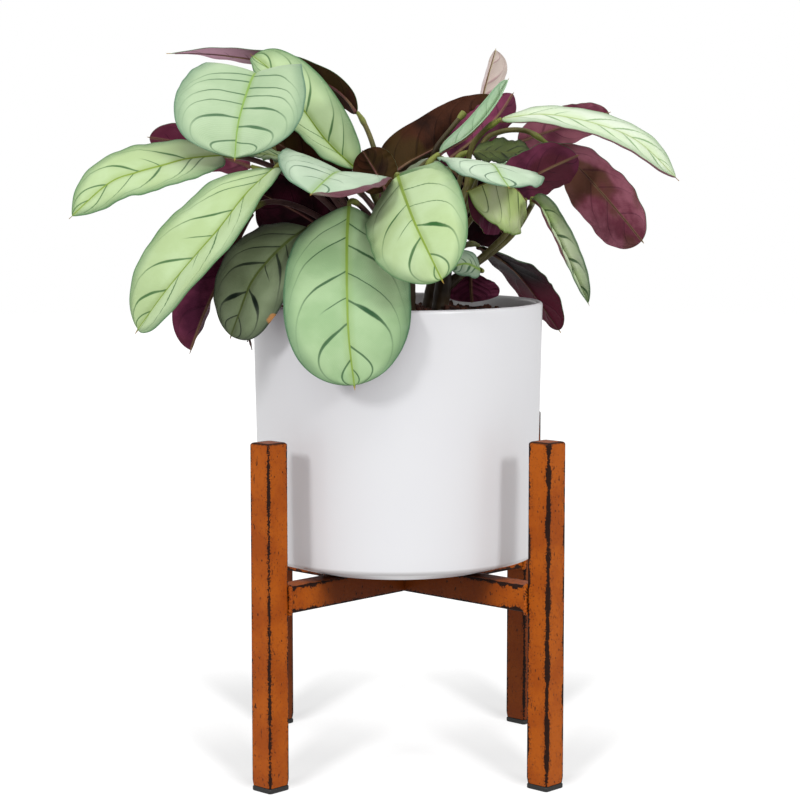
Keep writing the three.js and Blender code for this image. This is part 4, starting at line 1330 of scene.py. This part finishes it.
def add_leg(corner, degrees, material):
    bottom = FOOT_HEIGHT + GAP
    levels = [(h, 0.0) for h in np.linspace(bottom, LEG_HEIGHT - CAP_BEVEL - LEG_RING_GAP, LEG_RINGS)]
    levels[0] = (bottom, LEG_END_INSET)
    for angle in np.radians(np.linspace(0, 90, CAP_STEPS + 1)):
        rise = CAP_BEVEL * math.sin(angle)
        levels.append((LEG_HEIGHT - CAP_BEVEL + rise, CAP_BEVEL * (1 - math.cos(angle))))
    vertices, faces, edges = upright(levels, TUBE_CORNER)
    edges = np.concatenate([*edges, [TUBE / 2, TUBE / 2]])
    ends = LEG_HEIGHT - vertices[:, 2]
    ends[-1] = TUBE / 2
    cap = step_up(vertices[:, 2], LEG_HEIGHT - CAP_DIM_DEPTH, LEG_HEIGHT)
    # Painted shade on the rear legs; the cap is darker too.
    dim = REAR_PAINTED_SHADE * corner.startswith("back") + CAP_DIM * cap
    form = Form("edge", "end", "dim", "wear")
    turned_leg = turned(vertices, *leg_place(degrees))
    form.add(turned_leg, faces, edge=edges, end=ends, dim=dim, wear=LEG_WEAR[corner])
    form.piece("tube_" + corner, [material], ["leg_" + corner])


def add_foot(corner, degrees, material):
    vertices, faces = upright(FOOT_LEVELS, FOOT_CORNER)[:2]
    form = Form()
    form.add(turned(vertices, *leg_place(degrees)), faces)
    form.piece("pad_" + corner, [material], ["foot_" + corner])


def across_ring(ring, x):
    """A square outline stood up across a beam."""
    x = np.broadcast_to(x, len(ring))
    return np.column_stack([x, ring[:, 0], ring[:, 1] + CROSS_TOP - TUBE / 2])


def add_beam(name, start, end, degrees, material):
    turn = math.radians(degrees) + STAND_TURN
    ring = square_ring(TUBE / 2, TUBE_CORNER)
    vertices, faces = loft([across_ring(ring, x) for x in np.linspace(start, end, BEAM_RINGS)])
    edges = np.concatenate([np.tile(edge_distance(ring), BEAM_RINGS), [TUBE / 2, TUBE / 2]])
    form = Form("edge", "end", "dim", "wear")
    inward = LEG_RADIUS - np.abs(vertices[:, 0])
    ends = end - vertices[:, 0] + BEAM_END_FADE
    # Painted shade far in on the beam, under the pot.
    dim = BEAM_PAINTED_SHADE * step_up(inward, *BEAM_PAINTED_SHADE_RUN)
    wear = mix(*BEAM_WEAR, step_up(inward, *BEAM_WEAR_RUN))
    form.add(turned(vertices, turn), faces, edge=edges, end=ends, dim=dim, wear=wear)
    for x in {end, start if start < 0 else end}:
        add_weld(form, x, turn)
    form.piece(name.replace("beam", "bar"), [material], [name])


def add_weld(form, x, turn):
    """A bead round the beam where it meets a leg."""
    ring = square_ring(TUBE / 2 + WELD_OFFSET, WELD_CORNER, steps=6, flats=24)
    points = across_ring(ring, x - math.copysign(WELD_INSET, x))
    count = len(points)
    middle = points.mean(0)
    axis = np.array([1.0, 0, 0])
    rings = []
    for i, point in enumerate(points):
        outward = unit(point - middle)
        size = WELD_RADIUS
        for lump, pace in WELD_LUMPS:
            size += lump * math.sin(i * pace)
        turns = around(WELD_SIDES)
        rings.append([point + size * (math.cos(a) * outward + math.sin(a) * axis) for a in turns])
    vertices = np.array(rings).reshape(-1, 3)
    faces = grid_faces(count, WELD_SIDES, ring=True)
    last = (count - 1) * WELD_SIDES
    for k in range(WELD_SIDES):
        after = (k + 1) % WELD_SIDES
        faces.append((last + k, last + after, after, k))
    form.add(turned(vertices, turn), faces, **WELD_WEAR)


def add_stand():
    material = stand_material()
    foot = foot_material()
    for corner, degrees in CORNERS.items():
        add_leg(corner, degrees, material)
        add_foot(corner, degrees, foot)
    reach = LEG_RADIUS - TUBE / 2 - GAP
    add_beam("beam_through", -reach, reach, -45, material)
    add_beam("beam_half_right", TUBE / 2 + GAP, reach, 45, material)
    add_beam("beam_half_left", TUBE / 2 + GAP, reach, 225, material)


# Studio
def floor_painted_shadows(shade):
    # Painted shadows: two streaks from each foot, as the legs' shadows on the floor.
    ease = shade.ease
    across, back = (axis * (1 / MM) for axis in shade.split("XYZ", shade.place)[:2])
    dark = 0.0
    for degrees in CORNERS.values():
        x, y = leg_place(degrees)[1][:2]
        dx = across - (float(SHIFT[0]) + x)
        dy = back - (float(SHIFT[1]) + y)
        for lean in (-PAINTED_SHADOW_TURN, PAINTED_SHADOW_TURN):
            run = dx * math.sin(lean) + dy * math.cos(lean)
            side = dx * math.cos(lean) - dy * math.sin(lean)
            width = run * PAINTED_SHADOW_SPREAD + PAINTED_SHADOW_WIDTH
            near = ease(abs(side), width * 2.0, width * 0.5)
            painted_shadow = near * ease(run, PAINTED_SHADOW_LENGTH, PAINTED_SHADOW_LENGTH * 0.3) * ease(run, 0.0, 20.0)
            dark = shade.math("MAXIMUM", dark, painted_shadow)
    return dark * PAINTED_SHADOW_DARK


def add_floor():
    ring = circle(FLOOR_RADIUS, 0.0, FLOOR_SIDES)
    mesh = bpy.data.meshes.new("floor")
    mesh.from_pydata(ring.tolist(), [], [tuple(range(FLOOR_SIDES))])
    floor = bpy.data.objects.new("floor", mesh)
    bpy.context.scene.collection.objects.link(floor)
    shade = Shade("floor", 0.9, (0.93, 0.93, 0.93, 1), Specular_IOR_Level=0.1)
    shade.finish(shade.noise(1.5), 0.02)
    distance = shade.make("VectorMath", {0: shade.place}, "Value", operation="LENGTH")
    seen = shade.make("LightPath", output="Is Camera Ray")
    strength = seen * (FLOOR_SHINE - BOUNCE) + BOUNCE
    glow = shade.make("Emission", {"Color": (1, 1, 1, 1), "Strength": strength})
    share = shade.ease(distance, *FLOOR_FADE) * (1 - FLOOR_GLOW) + FLOOR_GLOW
    plain = Value(shade, shade.shader.outputs[0])
    mixed = shade.make("MixShader", {0: share, 1: plain, 2: glow})
    # Painted shadows: the floor turns towards black along the legs' shadow streaks.
    black = shade.make("Emission", {"Strength": 0.0})
    mixed = shade.make("MixShader", {0: floor_painted_shadows(shade), 1: mixed, 2: black})
    shade.feed(shade.tree.nodes["Material Output"].inputs["Surface"], mixed)
    mesh.materials.append(shade.material)


def add_world():
    """White behind the object, and a little less light than that on it."""
    world = bpy.data.worlds.new("world")
    world.use_nodes = True
    tree = world.node_tree
    background = tree.nodes["Background"]
    background.inputs["Color"].default_value = (1, 1, 1, 1)
    seen = tree.nodes.new("ShaderNodeLightPath").outputs["Is Camera Ray"]
    strength = tree.nodes.new("ShaderNodeMapRange")
    strength.inputs["To Min"].default_value = WORLD_LIGHT
    strength.inputs["To Max"].default_value = BACKDROP
    tree.links.new(seen, strength.inputs["Value"])
    tree.links.new(strength.outputs["Result"], background.inputs["Strength"])
    bpy.context.scene.world = world


def add_lights():
    for name, direction, distance, size, power in LIGHTS:
        data = bpy.data.lights.new(name, "AREA")
        data.shape = "DISK"
        data.size = size
        data.energy = power
        light = bpy.data.objects.new(name, data)
        toward = Vector(direction).normalized()
        light.location = Vector(AIM) + toward * distance
        light.rotation_euler = toward.to_track_quat("Z", "Y").to_euler()
        bpy.context.scene.collection.objects.link(light)


def add_camera():
    data = bpy.data.cameras.new("camera")
    data.sensor_width = SENSOR
    data.lens = EYE_FOCAL * SENSOR / PICTURE
    camera = bpy.data.objects.new("camera", data)
    middle = SHIFT * MM
    camera.location = (middle[0] + EYE_X * MM, middle[1] - EYE_DISTANCE * MM, EYE_HEIGHT * MM)
    pitch = EYE_TILT + (PICTURE / 2 - EYE_DOWN) / EYE_FOCAL
    camera.rotation_euler = (math.pi / 2 - pitch, 0, 0)
    bpy.context.scene.collection.objects.link(camera)
    bpy.context.scene.camera = camera
    bpy.context.scene.view_settings.view_transform = "Standard"


add_camera()
add_world()
add_lights()
add_floor()
add_stand()
add_pot()
add_soil()
for name, shoot in SHOOTS.items():
    add_shoot(name, shoot, stalk_material(name))
rib_paint = rib_material()
for number, leaf in enumerate(LEAVES):
    add_leaf(leaf, rib_paint, number)
